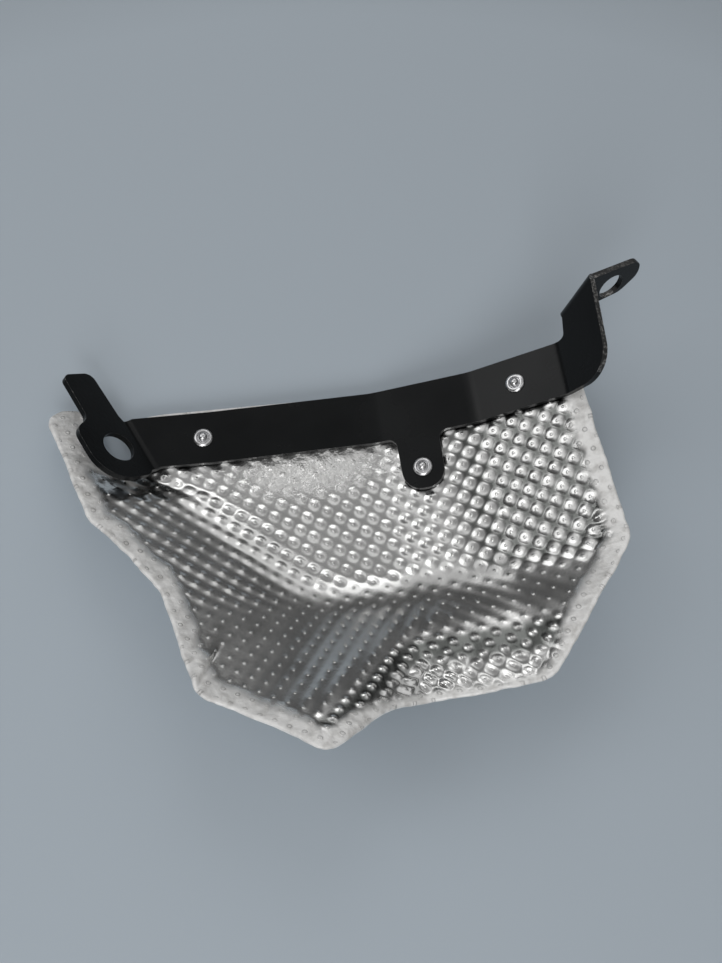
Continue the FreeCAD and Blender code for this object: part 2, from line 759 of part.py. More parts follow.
tab_along = riser_dir(fold_unit)
tab_heading = riser_dir(fold_away)
add_bend("tab_bend", riser_world(low_end), tab_along, fold_run, tab_heading, riser_normal * -1,
         size("tab_fold"), size("tab_bend_radius"), -1)
fold_cos, fold_sin = turned(size("tab_fold"))
tab_out = tab_heading * fold_cos - riser_normal * fold_sin
tab_normal = riser_normal * fold_cos + tab_heading * fold_sin
tab_origin = riser_world(tab_fold_low)
tab_x = tab_along * fold_unit[0] + tab_out * fold_away[0]
tab_y = tab_along * fold_unit[1] + tab_out * fold_away[1]
tab_plane = plane_at(tab_origin, tab_x, tab_normal)
tab_flip = 1.0 if tab_plane.Rotation.multVec(vec(0, 1, 0)).dot(tab_y) > 0 else -1.0


def tab_spot(point):
    return point[0] - tab_fold_low[0], tab_flip * (point[1] - tab_fold_low[1])


tab_low = after_fold(tab_fold_low)
tab_high = after_fold(tab_fold_high)
tab_end = size("tab_reach")
tab_corners = []
for x, y, radius in (
    (tab_low[0], tab_low[1], 0), (tab_end - 5.5, riser_foot + 2.6, 6.0), (tab_end, riser_foot + 8.5, 4.5),
    (tab_end - 1.5, riser_top + 0.3, 3.5), (tab_high[0], tab_high[1], 0),
):
    spot = tab_spot((x, y))
    tab_corners.append((spot[0], spot[1], radius))
tab_sketch = new_sketch("tab", tab_plane)
draw_outline(tab_sketch, tab_corners)
bore_spot = tab_spot((size("tab_reach") - size("tab_bore_inset"), (riser_foot + riser_top) / 2 - 0.7))
add_bore(tab_sketch, bore_spot[0], bore_spot[1], "sizes.tab_bore", "tab_hole")
add_pad(tab_sketch, "tab_pad", "sizes.strip_gauge", True)

# Rivet holes through facets A and C.
for letter, reach, across in (RIVETS[0], RIVETS[2]):
    spot, normal = on_facet(letter, reach, across)
    hole_sketch = new_sketch("hole_" + letter, plane_at(spot, vec(0, 1, 0), normal))
    add_bore(hole_sketch, 0.0, 0.0, "sizes.rivet_shank + 2 * sizes.rivet_clearance", "rivet_hole")
    hole = bracket.newObject("PartDesign::Pocket", "rivet_hole_" + letter)
    hole.Profile = hole_sketch
    hole.setExpression("Length", "4 * sizes.strip_gauge")
    hole.Midplane = True
doc.recompute()

# Rivets: a flanged head with the broken pin standing in it, a shank and a set tail.
def rivet_at(letter, reach, across):
    spot, normal = on_facet(letter, reach, across)
    grip = sheet_drop + size("sheet_gauge")
    gap = size("rivet_clearance")
    shank = size("rivet_shank") / 2
    head = size("rivet_head") / 2
    stub = size("rivet_stub") / 2
    tail = size("rivet_tail") / 2
    rise = size("rivet_head_rise")
    stub_rise = size("rivet_stub_rise")
    drop = size("rivet_tail_drop")
    groove = stub + 0.45
    path = [
        (0.0, stub_rise), (stub, stub_rise), (stub, gap + 0.25 * rise), (groove, gap + 0.25 * rise),
        (groove, gap + rise), (head, gap + 0.4 * rise), (head, gap), (shank, gap),
        (shank, -grip - gap), (tail, -grip - gap), (tail, -grip - gap - drop), (0.0, -grip - gap - drop),
    ]
    ring = [vec(x, 0, z) for x, z in path]
    face = Part.Face(Part.makePolygon(ring + [ring[0]]))
    solid = face.revolve(vec(0, 0, 0), vec(0, 0, 1), 360)
    if solid.Volume < 0:
        solid.reverse()
    item = doc.addObject("Part::Feature", "rivet_" + letter)
    item.Shape = solid
    item.Placement = plane_at(spot, vec(0, 1, 0), normal)
    return item


rivet_items = [rivet_at(letter, reach, across) for letter, reach, across in RIVETS]
rivets = doc.addObject("Part::Compound", "rivets")
rivets.Label = "rivets"
rivets.Links = rivet_items

# The eyelet's centre, half-way through the lug, is the part's origin.
eyelet_front = fold_point + fold_dir * eyelet_x + lug_rise * eyelet_y
eyelet_centre = eyelet_front - lug_normal * (gauge / 2)
tab_front = tab_plane.multVec(vec(bore_spot[0], bore_spot[1], 0))
tab_centre = tab_front - tab_normal * (gauge / 2)
shift = FreeCAD.Placement(eyelet_centre * -1, FreeCAD.Rotation())

# Shield panel: the formed sheet with its three rivet holes.
formed = doc.addObject("Part::Feature", "formed_sheet")
formed.Shape = embossed_sheet_shape()
formed.Placement = shift
drills = []
for letter, reach, across in RIVETS:
    spot, normal = on_facet(letter, reach, across)
    drill = doc.addObject("Part::Cylinder", "drill_" + letter)
    drill.setExpression("Radius", "sizes.rivet_shank / 2 + sizes.rivet_clearance")
    drill.setExpression("Height", "4 * (sizes.strip_gauge + sizes.sheet_gauge)")
    drill.Placement = shift * plane_at(spot - normal * (3 * gauge + sheet_drop - gauge), vec(0, 1, 0), normal)
    drills.append(drill)
drill_set = doc.addObject("Part::MultiFuse", "drill_set")
drill_set.Shapes = drills
panel = doc.addObject("Part::Cut", "shield_panel")
panel.Label = "shield_panel"
panel.Base = formed
panel.Tool = drill_set
panel.Refine = False
bracket.Placement = shift
rivets.Placement = shift
doc.recompute()
nodes = [panel, bracket, rivets]

for item in doc.Objects:
    if "Invalid" in item.State or "Error" in item.State:
        raise RuntimeError("%s failed: %s" % (item.Name, item.State))
os.makedirs("parts", exist_ok=True)
for node in nodes:
    shape = node.Shape
    if shape.isNull() or not shape.isValid():
        raise RuntimeError("%s has no valid shape" % node.Label)
    box = shape.BoundBox
    print(node.Label, "solids", len(shape.Solids), "faces", len(shape.Faces), "volume %.0f" % shape.Volume,
          "x %.1f..%.1f y %.1f..%.1f z %.1f..%.1f" % (box.XMin, box.XMax, box.YMin, box.YMax, box.ZMin, box.ZMax))
    shape.exportStep("parts/%s.step" % node.Label)
print("eyelet axis", lug_normal, "tab bore centre", tab_centre - eyelet_centre, "axis", tab_normal)
print("eyelet centre before the shift", eyelet_centre)
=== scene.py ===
# %% [markdown]
# # An embossed aluminium heat shield on a steel bracket
#
# The shield is a thin sheet, embossed all over with small round dimples and drawn into a scoop. Its
# rim is folded back into a hem. A black steel strip crosses it and carries it by three blind rivets.
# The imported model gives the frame, so every piece below is made at its real place, in metres.

# %% Load the frame
import math
import bpy
import numpy as np
from mathutils import Matrix, Vector, noise
from mathutils.geometry import delaunay_2d_cdt


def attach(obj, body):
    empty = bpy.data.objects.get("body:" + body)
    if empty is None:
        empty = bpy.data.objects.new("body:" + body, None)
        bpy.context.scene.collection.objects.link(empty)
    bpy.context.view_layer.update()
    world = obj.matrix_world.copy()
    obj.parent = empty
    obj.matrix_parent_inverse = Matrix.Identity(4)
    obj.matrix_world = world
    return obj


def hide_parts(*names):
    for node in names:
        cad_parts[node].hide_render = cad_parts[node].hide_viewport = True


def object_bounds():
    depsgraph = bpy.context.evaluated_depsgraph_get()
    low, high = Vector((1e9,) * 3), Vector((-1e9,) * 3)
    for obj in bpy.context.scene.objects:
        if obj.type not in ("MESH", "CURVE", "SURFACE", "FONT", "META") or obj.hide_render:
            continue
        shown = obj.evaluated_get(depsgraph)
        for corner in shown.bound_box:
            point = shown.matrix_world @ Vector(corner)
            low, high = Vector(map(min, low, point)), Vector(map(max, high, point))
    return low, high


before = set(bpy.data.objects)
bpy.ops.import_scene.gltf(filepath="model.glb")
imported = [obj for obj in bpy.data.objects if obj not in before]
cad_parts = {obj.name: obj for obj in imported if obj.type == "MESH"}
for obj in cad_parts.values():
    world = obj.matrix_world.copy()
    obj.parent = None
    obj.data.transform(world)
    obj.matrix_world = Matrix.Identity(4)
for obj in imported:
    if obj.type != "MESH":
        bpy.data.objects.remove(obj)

cad_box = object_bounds()
print("CAD box in mm", [[round(1000 * value, 1) for value in corner] for corner in cad_box])


# %% [markdown]
# The camera comes first, because everything else is judged through it. The photograph was taken from above
# and a little from the front, from about a third of a metre away. The three directions are the picture's
# right, up and back, found by fitting the straight edges of the strip and the lattice of dimples. The focal
# length is in pixels of the picture, so it is divided by the picture's height.

# %% Camera
SENSOR = 36.0
FOCAL_LENGTH = 950.0
PICTURE_HEIGHT = 963.0
scene = bpy.context.scene
scene.view_settings.view_transform = "Standard"
picture_right = Vector((0.98718, -0.14802, 0.05962)).normalized()
picture_up = Vector((0.12252, 0.94242, 0.31118)).normalized()
picture_back = picture_right.cross(picture_up)
camera_place = Vector((0.04504, -0.11388, 0.29268))
camera_turn = Matrix((picture_right, picture_up, picture_back)).transposed().to_4x4()
bpy.ops.object.camera_add()
camera = bpy.context.object
camera.name = "photo_camera"
camera.matrix_world = Matrix.Translation(camera_place) @ camera_turn
camera.data.sensor_width = SENSOR
camera.data.lens = FOCAL_LENGTH / PICTURE_HEIGHT * SENSOR
camera.data.clip_start = 0.01
camera.data.dof.use_dof = False
scene.camera = camera
print("camera", [round(value, 3) for value in camera_place], "lens", round(camera.data.lens, 2))


# %% [markdown]
# The sheet's form is easiest to say as a height over the plan, in millimetres. The back wall is flat under
# the first part of the strip and then rises in two bends. A left wall and a front wall rise from it across
# rounded valleys. A sculpted mesh would drift away from the solids, so the same few sizes are used here.

# %% Sizes of the sheet
MM = 0.001
ORIGIN = np.array((-84.98619, -2.49070, 10.08112))
SHEET = 1.0
DIMPLE = 0.9
PITCH = 4.84
LATTICE_TURN = math.radians(-35.0)
STRIP_FRONT = 4.0
STRIP_DROP = 3.0
TILTS = [0.0, math.radians(14.84), math.radians(30.35)]
FACETS = [33.7, 31.0]
BEND = 21.0
VALLEY = 7.0
HALF_STRIP = 9.0
FACET_A = 77.0
LEFT_FOLD = 57.8
LEFT_TILT = math.radians(35.0)
FRONT_FOLD = 58.5
FRONT_TILTS = [math.radians(43.0), math.radians(31.0)]
LIP_REACH = 19.0
LIP_SHIFT = 21.0
LIP_BEND = 8.0
LIP_SLOPE = 0.25
LATTICE_START = (-20.0, -30.0)


def ease(value):
    value = np.clip(value, 0.0, 1.0)
    return value * value * (3 - 2 * value)


def smooth_max(first, second, blend):
    overlap = np.maximum(blend - np.abs(first - second), 0.0)
    return np.maximum(first, second) + overlap * overlap / (4 * blend)


def facet_corner(number, offset):
    """Bend number 0 or 1 of the strip's side profile, moved square to the strip by an offset."""
    x = 0.0
    z = STRIP_FRONT
    if number == 1:
        x += FACETS[0] * math.cos(TILTS[1])
        z += FACETS[0] * math.sin(TILTS[1])
    middle = (TILTS[number] + TILTS[number + 1]) / 2
    stretch = offset / math.cos((TILTS[number + 1] - TILTS[number]) / 2)
    return x - math.sin(middle) * stretch, z + math.cos(middle) * stretch


print("profile corners", [tuple(round(v, 2) for v in facet_corner(n, -STRIP_DROP)) for n in (0, 1)])


# %% [markdown]
# Each wall is a plane, and two walls meet in a rounded maximum of the two heights, which leaves a soft
# valley like the one a press tool leaves. The lip at the lower right is the front wall turned out again.

# %% Height of the formed sheet
def back_wall(x):
    height = np.full_like(x, facet_corner(0, -STRIP_DROP)[1])
    for number in (0, 1):
        cx, cz = facet_corner(number, -STRIP_DROP)
        before, after = TILTS[number], TILTS[number + 1]
        reach = BEND * math.tan((after - before) / 2)
        start = cx - reach * math.cos(before)
        end = cx + reach * math.cos(after)
        centre_x = start - BEND * math.sin(before)
        centre_z = cz - reach * math.sin(before) + BEND * math.cos(before)
        inside = np.clip(BEND ** 2 - (x - centre_x) ** 2, 1.0, None)
        height = np.where(x >= start, centre_z - np.sqrt(inside), height)
        height = np.where(x >= end, cz + math.tan(after) * (x - cx), height)
    return height


def front_slope(x):
    left, right = [math.tan(tilt) for tilt in FRONT_TILTS]
    return left + (right - left) * ease((x + 15.0) / 75.0)


def beside_strip(x, y):
    return ease((y + HALF_STRIP + 13.0) / 14.0) * ease((x + FACET_A + 18.0) / 14.0)


def left_distance(x, y):
    return -(x + y) / math.sqrt(2) - LEFT_FOLD - 8.0 * beside_strip(x, y)


def front_distance(y):
    return -y - FRONT_FOLD


def lip_line(x):
    """How far up the front wall the lip starts."""
    return LIP_REACH + LIP_SHIFT * ease((2.0 - x) / 38.0)


def sheet_height(x, y):
    slope = front_slope(x)
    reach = front_distance(y)
    past_lip = smooth_max(reach - lip_line(x), 0.0, LIP_BEND)
    front_rise = slope * reach - (slope - LIP_SLOPE) * past_lip
    left_rise = math.tan(LEFT_TILT) * left_distance(x, y)
    rise = smooth_max(left_rise, front_rise, VALLEY)
    return back_wall(x) + smooth_max(rise, 0.0, VALLEY * (1 - 0.6 * beside_strip(x, y)))


def lifted(x, y, lift):
    """Points over the plan, lifted square to the sheet, in metres in the part's frame."""
    step = 0.05
    height = sheet_height(x, y)
    slope_x = (sheet_height(x + step, y) - sheet_height(x - step, y)) / (2 * step)
    slope_y = (sheet_height(x, y + step) - sheet_height(x, y - step)) / (2 * step)
    length = np.sqrt(slope_x ** 2 + slope_y ** 2 + 1)
    moved_x = x - slope_x / length * lift
    moved_y = y - slope_y / length * lift
    points = np.stack((moved_x, moved_y, height + lift / length), axis=-1)
    return (points - ORIGIN) * MM


sample = sheet_height(np.array([-40.0, 20.0, 50.0]), np.array([-30.0, -30.0, -30.0]))
print("sheet heights in mm", [round(float(value), 2) for value in sample])


# %% [markdown]
# The flat blank is embossed before it is drawn, so the dimples sit on an even square lattice of the blank.
# Where a wall rises, the lattice is drawn in towards the fold when it is seen from above.

# %% The lattice of dimples
def blank_to_plan(u, v):
    past_left = smooth_max(left_distance(u, v), 0.0, VALLEY)
    draw = (1 - math.cos(LEFT_TILT)) * past_left / math.sqrt(2)
    u = u + draw
    v = v + draw
    past_front = smooth_max(front_distance(v), 0.0, VALLEY)
    v = v + (1 - np.cos(np.arctan(front_slope(u)))) * past_front
    on_b = np.clip(u, 0.0, FACETS[0])
    on_c = np.clip(u - FACETS[0], 0.0, None)
    x = np.minimum(u, 0.0) + on_b * math.cos(TILTS[1]) + on_c * math.cos(TILTS[2])
    return x, v


def lattice_to_plan(i, j):
    u = LATTICE_START[0] + PITCH * (i * math.cos(LATTICE_TURN) - j * math.sin(LATTICE_TURN))
    v = LATTICE_START[1] + PITCH * (i * math.sin(LATTICE_TURN) + j * math.cos(LATTICE_TURN))
    return blank_to_plan(u, v)


x, y = lattice_to_plan(np.array([0.0, 10.0]), np.array([0.0, 0.0]))
print("lattice pitch in plan", round(float(np.hypot(x[1] - x[0], y[1] - y[0])) / 10, 3), "mm")


# %% [markdown]
# The rim runs through a few corner points, each rounded by its own radius. Stations are taken about every
# millimetre along it, because the folded edge will be swept through them.

# %% Outline of the rim
RIM = [
    (64.0, 8.5, 7.5), (-70.0, 11.5, 5.0), (-79.4, 11.0, 5.0), (-79.4, -5.1, 5.85), (-91.2, -5.1, 5.85),
    (-95.0, 15.0, 5.2), (-109.0, 15.0, 5.2), (-99.0, -12.0, 30.0), (-93.8, -28.0, 14.0),
    (-82.0, -41.5, 14.0), (-73.0, -55.5, 18.0), (-65.0, -86.8, 8.0), (-47.8, -96.3, 40.0),
    (-31.0, -107.5, 8.0), (-12.5, -97.7, 22.0), (36.0, -96.2, 8.0), (48.5, -81.0, 20.0), (68.0, -58.2, 8.0),
]
STATION_SPACING = 0.8
STATION_TURN = 0.12


def rim_stations(spacing):
    """Stations along the rounded rim as (x, y, inward x, inward y)."""
    corners = []
    count = len(RIM)
    for index in range(count):
        x, y, radius = RIM[index]
        px, py, _ = RIM[index - 1]
        nx, ny, _ = RIM[(index + 1) % count]
        before = math.atan2(y - py, x - px)
        after = math.atan2(ny - y, nx - x)
        turn = (after - before + math.pi) % (2 * math.pi) - math.pi
        reach = radius * math.tan(abs(turn) / 2)
        side = 1 if turn > 0 else -1
        centre_x = x - reach * math.cos(before) - side * radius * math.sin(before)
        centre_y = y - reach * math.sin(before) + side * radius * math.cos(before)
        by_length = int(math.ceil(abs(turn) * radius / spacing))
        by_turn = int(math.ceil(abs(turn) / STATION_TURN))
        steps = max(2, by_length, by_turn)
        for step in range(steps + 1):
            heading = before + turn * step / steps
            corners.append((centre_x + side * radius * math.sin(heading),
                            centre_y - side * radius * math.cos(heading), heading))
    stations = []
    for index, (x, y, heading) in enumerate(corners):
        nx, ny, next_heading = corners[(index + 1) % len(corners)]
        stations.append((x, y, -math.sin(heading), math.cos(heading)))
        straight = abs((next_heading - heading + math.pi) % (2 * math.pi) - math.pi) < 0.005
        extra = int(math.hypot(nx - x, ny - y) / spacing) if straight else 0
        for step in range(1, extra + 1):
            part = step / (extra + 1)
            stations.append((x + (nx - x) * part, y + (ny - y) * part,
                             -math.sin(heading), math.cos(heading)))
    return np.array(stations)


rim = rim_stations(STATION_SPACING)
run = np.hypot(*(np.roll(rim[:, :2], -1, axis=0) - rim[:, :2]).T)
print("rim of", round(float(run.sum())), "mm in", len(rim), "stations")


# %% [markdown]
# The edge of the sheet is folded over itself and pressed flat, which leaves a hem with a round outer edge.
# By hand it is never even: the rim wanders a little, so each station is nudged by a smooth random amount.

# %% The uneven edge
EDGE = 0.8


def rough(x, y, scale, seed):
    """Smooth random value between about -1 and 1 at each place of the plan."""
    flat_x = np.ravel(x)
    flat_y = np.ravel(y)
    values = [noise.noise(Vector((a * scale, b * scale, seed))) for a, b in zip(flat_x, flat_y)]
    return np.array(values).reshape(np.shape(x))


def under_strip(x, y):
    return ease((x + 88.0) / 6.0) * ease((y + HALF_STRIP + 7.0) / 5.0)


wander = 0.45 * rough(rim[:, 0], rim[:, 1], 0.1, 5.0) + 0.2 * rough(rim[:, 0], rim[:, 1], 0.45, 6.0)
wander = wander * (1 - under_strip(rim[:, 0], rim[:, 1]))
rim[:, :2] += rim[:, 2:] * wander[:, None]
edge_line = rim[:, :2] + rim[:, 2:] * EDGE
print("rim wanders by", round(float(np.abs(wander).max()), 2), "mm")


# %% [markdown]
# Now the field inside that edge. A grid of points follows the lattice, so that each dimple gets the same
# number of points, and a constrained triangulation joins the grid to the edge line without steps.

# %% Points of the embossed field
FRONT_STEPS = 8
BACK_STEPS = 5
LATTICE_REACH = 30
TIP_POINTS = 6
TIP_RADIUS = 0.06
EDGE_GAP = 0.25


def inside_line(x, y, line):
    """Distance inside a closed line; negative outside."""
    nearest = np.full(x.shape, 1e9)
    inside = np.zeros(x.shape, bool)
    for index in range(len(line)):
        ax, ay = line[index]
        bx, by = line[(index + 1) % len(line)]
        if ay != by:
            crossing = (bx - ax) * (y - ay) / (by - ay) + ax
            inside ^= ((ay > y) != (by > y)) & (x < crossing)
        span = (bx - ax) ** 2 + (by - ay) ** 2
        along = np.clip(((x - ax) * (bx - ax) + (y - ay) * (by - ay)) / span, 0.0, 1.0)
        nearest = np.minimum(nearest, np.hypot(x - ax - along * (bx - ax), y - ay - along * (by - ay)))
    return np.where(inside, nearest, -nearest)


def field_points(per_cell, with_tips):
    """Lattice coordinates of the field's points, with their places and distances from the rim."""
    steps = np.arange(-LATTICE_REACH * per_cell, LATTICE_REACH * per_cell) / per_cell
    i, j = [values.ravel() for values in np.meshgrid(steps, steps)]
    if with_tips:
        centres = np.arange(-LATTICE_REACH, LATTICE_REACH)
        ci, cj = [values.ravel() for values in np.meshgrid(centres, centres)]
        for step in range(TIP_POINTS):
            angle = math.radians(360 // TIP_POINTS * step + 15)
            i = np.concatenate((i, ci + TIP_RADIUS * math.cos(angle)))
            j = np.concatenate((j, cj + TIP_RADIUS * math.sin(angle)))
    x, y = lattice_to_plan(i, j)
    near = (x > -112) & (x < 72) & (y > -112) & (y < 20)
    i, j, x, y = i[near], j[near], x[near], y[near]
    margin = inside_line(x, y, edge_line)
    kept = margin > EDGE_GAP
    return i[kept], j[kept], x[kept], y[kept], margin[kept] + EDGE


front_field = field_points(FRONT_STEPS, True)
back_field = field_points(BACK_STEPS, False)
print("field points", len(front_field[0]), "in front and", len(back_field[0]), "behind")


# %% [markdown]
# A dimple doesn't look the same everywhere, because drawing the sheet changed it. These functions say how
# far each place belongs to the hem, a wall, the lip, the right side, the scratched patch in front of the
# strip or the band along the fold. Painted weights would do too, but formulas keep to the sheet's sizes.

# %% Regions of the sheet
HEM_WIDTH = 5.2
HEM_FADE = 3.8
WALL_FADE = 8.0
LIP_FADE = 6.0
RIGHT_START = 5.0
RIGHT_FADE = 25.0
RUBBED_CENTRE = (-23.0, -14.0)
RUBBED_RADII = (20.0, 8.5)
VALLEY_WIDTH = 4.5
VALLEY_END = 44.0


def patch(x, y, centre, radius_x, radius_y):
    """Soft spot: one at its centre, fading out over its radii."""
    return np.exp(-((x - centre[0]) / radius_x) ** 2 - ((y - centre[1]) / radius_y) ** 2)


def hem_share(x, y, margin):
    """One on the pressed hem and nothing inside it."""
    finger = ease((-88.0 - x) / 6.0) * ease((y + 12.0) / 10.0)
    lip = ease((x + 24.0) / 12.0) * ease((-80.0 - y) / 10.0)
    width = HEM_WIDTH + 6.0 * finger - 3.0 * lip
    width = width + rough(x, y, 0.16, 3.0) + 0.5 * rough(x, y, 0.5, 4.0)
    return ease((width + HEM_FADE / 2 - margin) / HEM_FADE)


def past_lip_line(x, y):
    """Distance past the line where the front wall turns out into the lip."""
    return front_distance(y) - lip_line(x)


def wall_shares(x, y):
    """How far each place is up the left wall, the front wall, the lip and the right facets."""
    left = ease(left_distance(x, y) / WALL_FADE + 0.3)
    front = ease(front_distance(y) / WALL_FADE + 0.3)
    lip = ease(past_lip_line(x, y) / LIP_FADE + 0.6)
    right = ease((x - RIGHT_START) / RIGHT_FADE)
    return left * (1 - front), front * (1 - lip), front * lip, right * (1 - front)


def upper_lip(x, y):
    """One on the upper half of the lip, where small pads stand on flats that get painted shade, and nothing
    near the rim.
    """
    reach = 5.0 + 2.2 * ease((x + 5.0) / 20.0) + 2.0 * rough(x, y, 0.2, 57.0)
    return 1 - ease((past_lip_line(x, y) - reach) / 5.0)


def rubbed_share(x, y):
    """The scratched patch in front of the strip, where the dimples are worn lower."""
    return np.clip(1.3 * patch(x, y, RUBBED_CENTRE, *RUBBED_RADII), 0.0, 1.0)


def valley_band(x, y):
    """The band along the fold of the front wall, where the dimples are stretched flat."""
    return np.exp(-(front_distance(y) / VALLEY_WIDTH) ** 2) * ease((VALLEY_END - np.abs(x)) / 14.0)


shares = [round(float(share.mean()), 2) for share in wall_shares(front_field[2], front_field[3])]
print("shares of the left wall, the front wall, the lip and the right side", shares)


# %% [markdown]
# On the right side and the lip the swells are flat-topped pads, and painted shade is laid into the grooves
# between them. A pad is drawn from the distance to the middle of its cell. A power a little over two makes
# it nearly round and still lets it fill the square cell.

# %% Pads and grooves
PAD_POWER = 2.2


def in_cell(i, j):
    """Place inside a lattice cell, from minus a half to a half each way."""
    return i - np.round(i), j - np.round(j)


def round_pad(u, v):
    """Flat-topped pad that nearly fills its cell and leaves a narrow groove round it."""
    out = (np.abs(2 * u) ** PAD_POWER + np.abs(2 * v) ** PAD_POWER) ** (1 / PAD_POWER)
    return 1 - ease((out - 0.45) / 0.65)


def shifted_pad(u, v, x, y, shift, scale, seed):
    """Round pad pushed out of line by a smooth random shift."""
    return round_pad(u + shift * rough(x, y, scale, seed), v + shift * rough(x, y, scale, seed + 2.0))


def right_pad(u, v, x, y):
    """Pad of the right side, a little out of line."""
    return shifted_pad(u, v, x, y, 0.07, 0.2, 71.0)


def crushed_pad(u, v, i, j, x, y):
    """Pad of the lip, pushed further out of line and out of height."""
    height = 0.8 + 0.8 * rough(np.round(i) + 0.5, np.round(j) + 0.5, 0.37, 55.0)
    return shifted_pad(u, v, x, y, 0.22, 0.22, 51.0) * height


def small_pad(u, v):
    """Small round pad of the upper lip."""
    return ease((0.36 - np.hypot(u, v)) / 0.24)


def groove_shade_share(i, j, x, y):
    """Painted shade between the pads of the right side and the lip, and along the fold of the front wall."""
    u, v = in_cell(i, j)
    lip, right = wall_shares(x, y)[2:]
    upper = upper_lip(x, y)
    lip_groove_shade = 0.6 * np.clip(1 - 1.3 * crushed_pad(u, v, i, j, x, y), 0.0, 1.0)
    lip_groove_shade = upper * (1 - 0.9 * small_pad(u, v)) + (1 - upper) * lip_groove_shade
    pads = right * (1 - right_pad(u, v, x, y)) + lip * lip_groove_shade
    return np.maximum(pads, 0.6 * valley_band(x, y))


print("pad at its middle and at its cell's corner", round_pad(np.array([0.0, 0.5]), np.array([0.0, 0.5])))


# %% [markdown]
# A dimple is a soft swell with a small nib at its top, where the embossing pin pressed. Drawing the sheet
# into the scoop pulled the swells into flutes: along one way of the lattice on the left wall, and along the
# other on the front wall. The heights are shares of a full dimple. All of it fades out in the pressed hem.

# %% Relief of the dimples
CHAIN_HEIGHT = 0.6
LEFT_FLUTE_HEIGHT = 0.3
FRONT_FLUTE_HEIGHT = 0.2
SMALL_PAD_HEIGHT = 0.5
CRUSHED_PAD_HEIGHT = 0.75
RIGHT_PAD_HEIGHT = 0.55
RELIEF_HEIGHT = DIMPLE - 0.12
NIB_HEIGHT = 0.16
NIB_RADIUS = 0.34
RUBBED_LOSS = 0.35
VALLEY_LOSS = 0.8


def wave(value):
    """Even wave from nothing to one, with a crest at each whole number."""
    return 0.5 + 0.5 * np.cos(2 * math.pi * value)


def wall_flutes(u, v, x, y):
    """Flutes of the left wall and of the front wall, which turn on its right half."""
    bent = wave(v + 0.09 * rough(x, y, 0.12, 61.0))
    left = bent * (0.35 + 0.65 * wave(u)) * (1 + 0.5 * rough(x, y, 0.07, 63.0))
    turned = ease((x + 2.0) / 24.0)
    front = (1 - turned) * wave(u) * (0.8 + 0.2 * wave(v)) + turned * wave(v) * (0.8 + 0.2 * wave(u))
    return left, front


def dimple_form(i, j, x, y):
    """Height of the swell at each place, as a share of a full dimple."""
    u, v = in_cell(i, j)
    dome = ease((0.48 - np.hypot(0.85 * u, 1.1 * v)) / 0.3)
    chain = np.maximum(dome, 0.3 * wave(v))
    left_flute, front_flute = wall_flutes(u, v, x, y)
    left, front, lip, right = wall_shares(x, y)
    right = right * (1 - left)
    rest = 1 - left - front - lip - right
    upper = upper_lip(x, y)
    lip_form = upper * small_pad(u, v) * SMALL_PAD_HEIGHT
    lip_form = lip_form + (1 - upper) * crushed_pad(u, v, i, j, x, y) * CRUSHED_PAD_HEIGHT
    form = rest * chain * CHAIN_HEIGHT + left * left_flute * LEFT_FLUTE_HEIGHT
    form = form + front * front_flute * FRONT_FLUTE_HEIGHT
    return form + lip * lip_form + right * right_pad(u, v, x, y) * RIGHT_PAD_HEIGHT


def dimple_relief(i, j, x, y, tips):
    """Relief in millimetres. A scrambled sine of its numbers gives each dimple its own height."""
    chance = np.sin(np.round(i) * 127.1 + np.round(j) * 311.7) * 43758.5453
    own_height = 0.88 + 0.16 * (2 * (chance - np.floor(chance)) - 1)
    worn = np.maximum(RUBBED_LOSS * rubbed_share(x, y), VALLEY_LOSS * valley_band(x, y))
    relief = RELIEF_HEIGHT * dimple_form(i, j, x, y) * own_height * (1 - worn)
    if tips:
        radius = np.hypot(*in_cell(i, j)) * PITCH
        relief = relief + NIB_HEIGHT * np.exp(-(radius / NIB_RADIUS) ** 2)
    return relief


spots_x = np.array([-40.0, 0.0, 50.0])
spots_y = np.array([-30.0, -75.0, -20.0])
print("dimple forms", np.round(dimple_form(np.zeros(3), np.zeros(3), spots_x, spots_y), 2))


# %% [markdown]
# Handling left its marks: the right corner and the lip are crumpled, the hem is dented all along, and at
# the lower left corner it was tucked into a pleat. Each of these is a small push square to the sheet.

# %% Dents and creases
PLEAT = (-62.3, -80.6)
HEM_RISE = 0.4
MARK_HEIGHT = 0.16
MARK_RADIUS = 0.45
BACK_SHARE = 0.8


def crumple(x, y):
    """Wide unevenness, the wrinkles and dents of the right corner, and the ridges of the lip."""
    broad = 0.25 * rough(x, y, 0.045, 11.0)
    fan = np.arctan2(y + 53.0, x - 48.0)
    ripple = np.sin(30.0 * fan + 3.0 * rough(x, y, 0.15, 23.0))
    wrinkle = patch(x, y, (63.5, -53.0), 5.5, 10.0) * 0.16 * ripple
    corner = patch(x, y, (63.0, -53.0), 8.0, 13.0) * 0.3 * rough(x, y, 0.3, 21.0)
    ridge = np.abs(rough(x, y * 0.7, 0.13, 31.0))
    lip = patch(x, y, (8.0, -88.0), 15.0, 6.5) * 0.9 * (0.4 - 1.6 * ridge)
    return broad + wrinkle + corner + lip


def hem_lift(x, y, share):
    """Rise of the hem over the sheet, with its dents and the pleat."""
    dents = 0.3 * rough(x, y, 0.22, 41.0) + 0.16 * rough(x, y, 0.7, 43.0)
    across = (x - PLEAT[0]) * 0.86 - (y - PLEAT[1]) * 0.5
    along = (x - PLEAT[0]) * 0.5 + (y - PLEAT[1]) * 0.86
    tuck = np.exp(-(along / 6.5) ** 2)
    pleat = tuck * (0.8 * np.exp(-((across + 1.6) / 1.5) ** 2) - 0.9 * np.exp(-(across / 0.55) ** 2))
    return share * (HEM_RISE + dents) + pleat


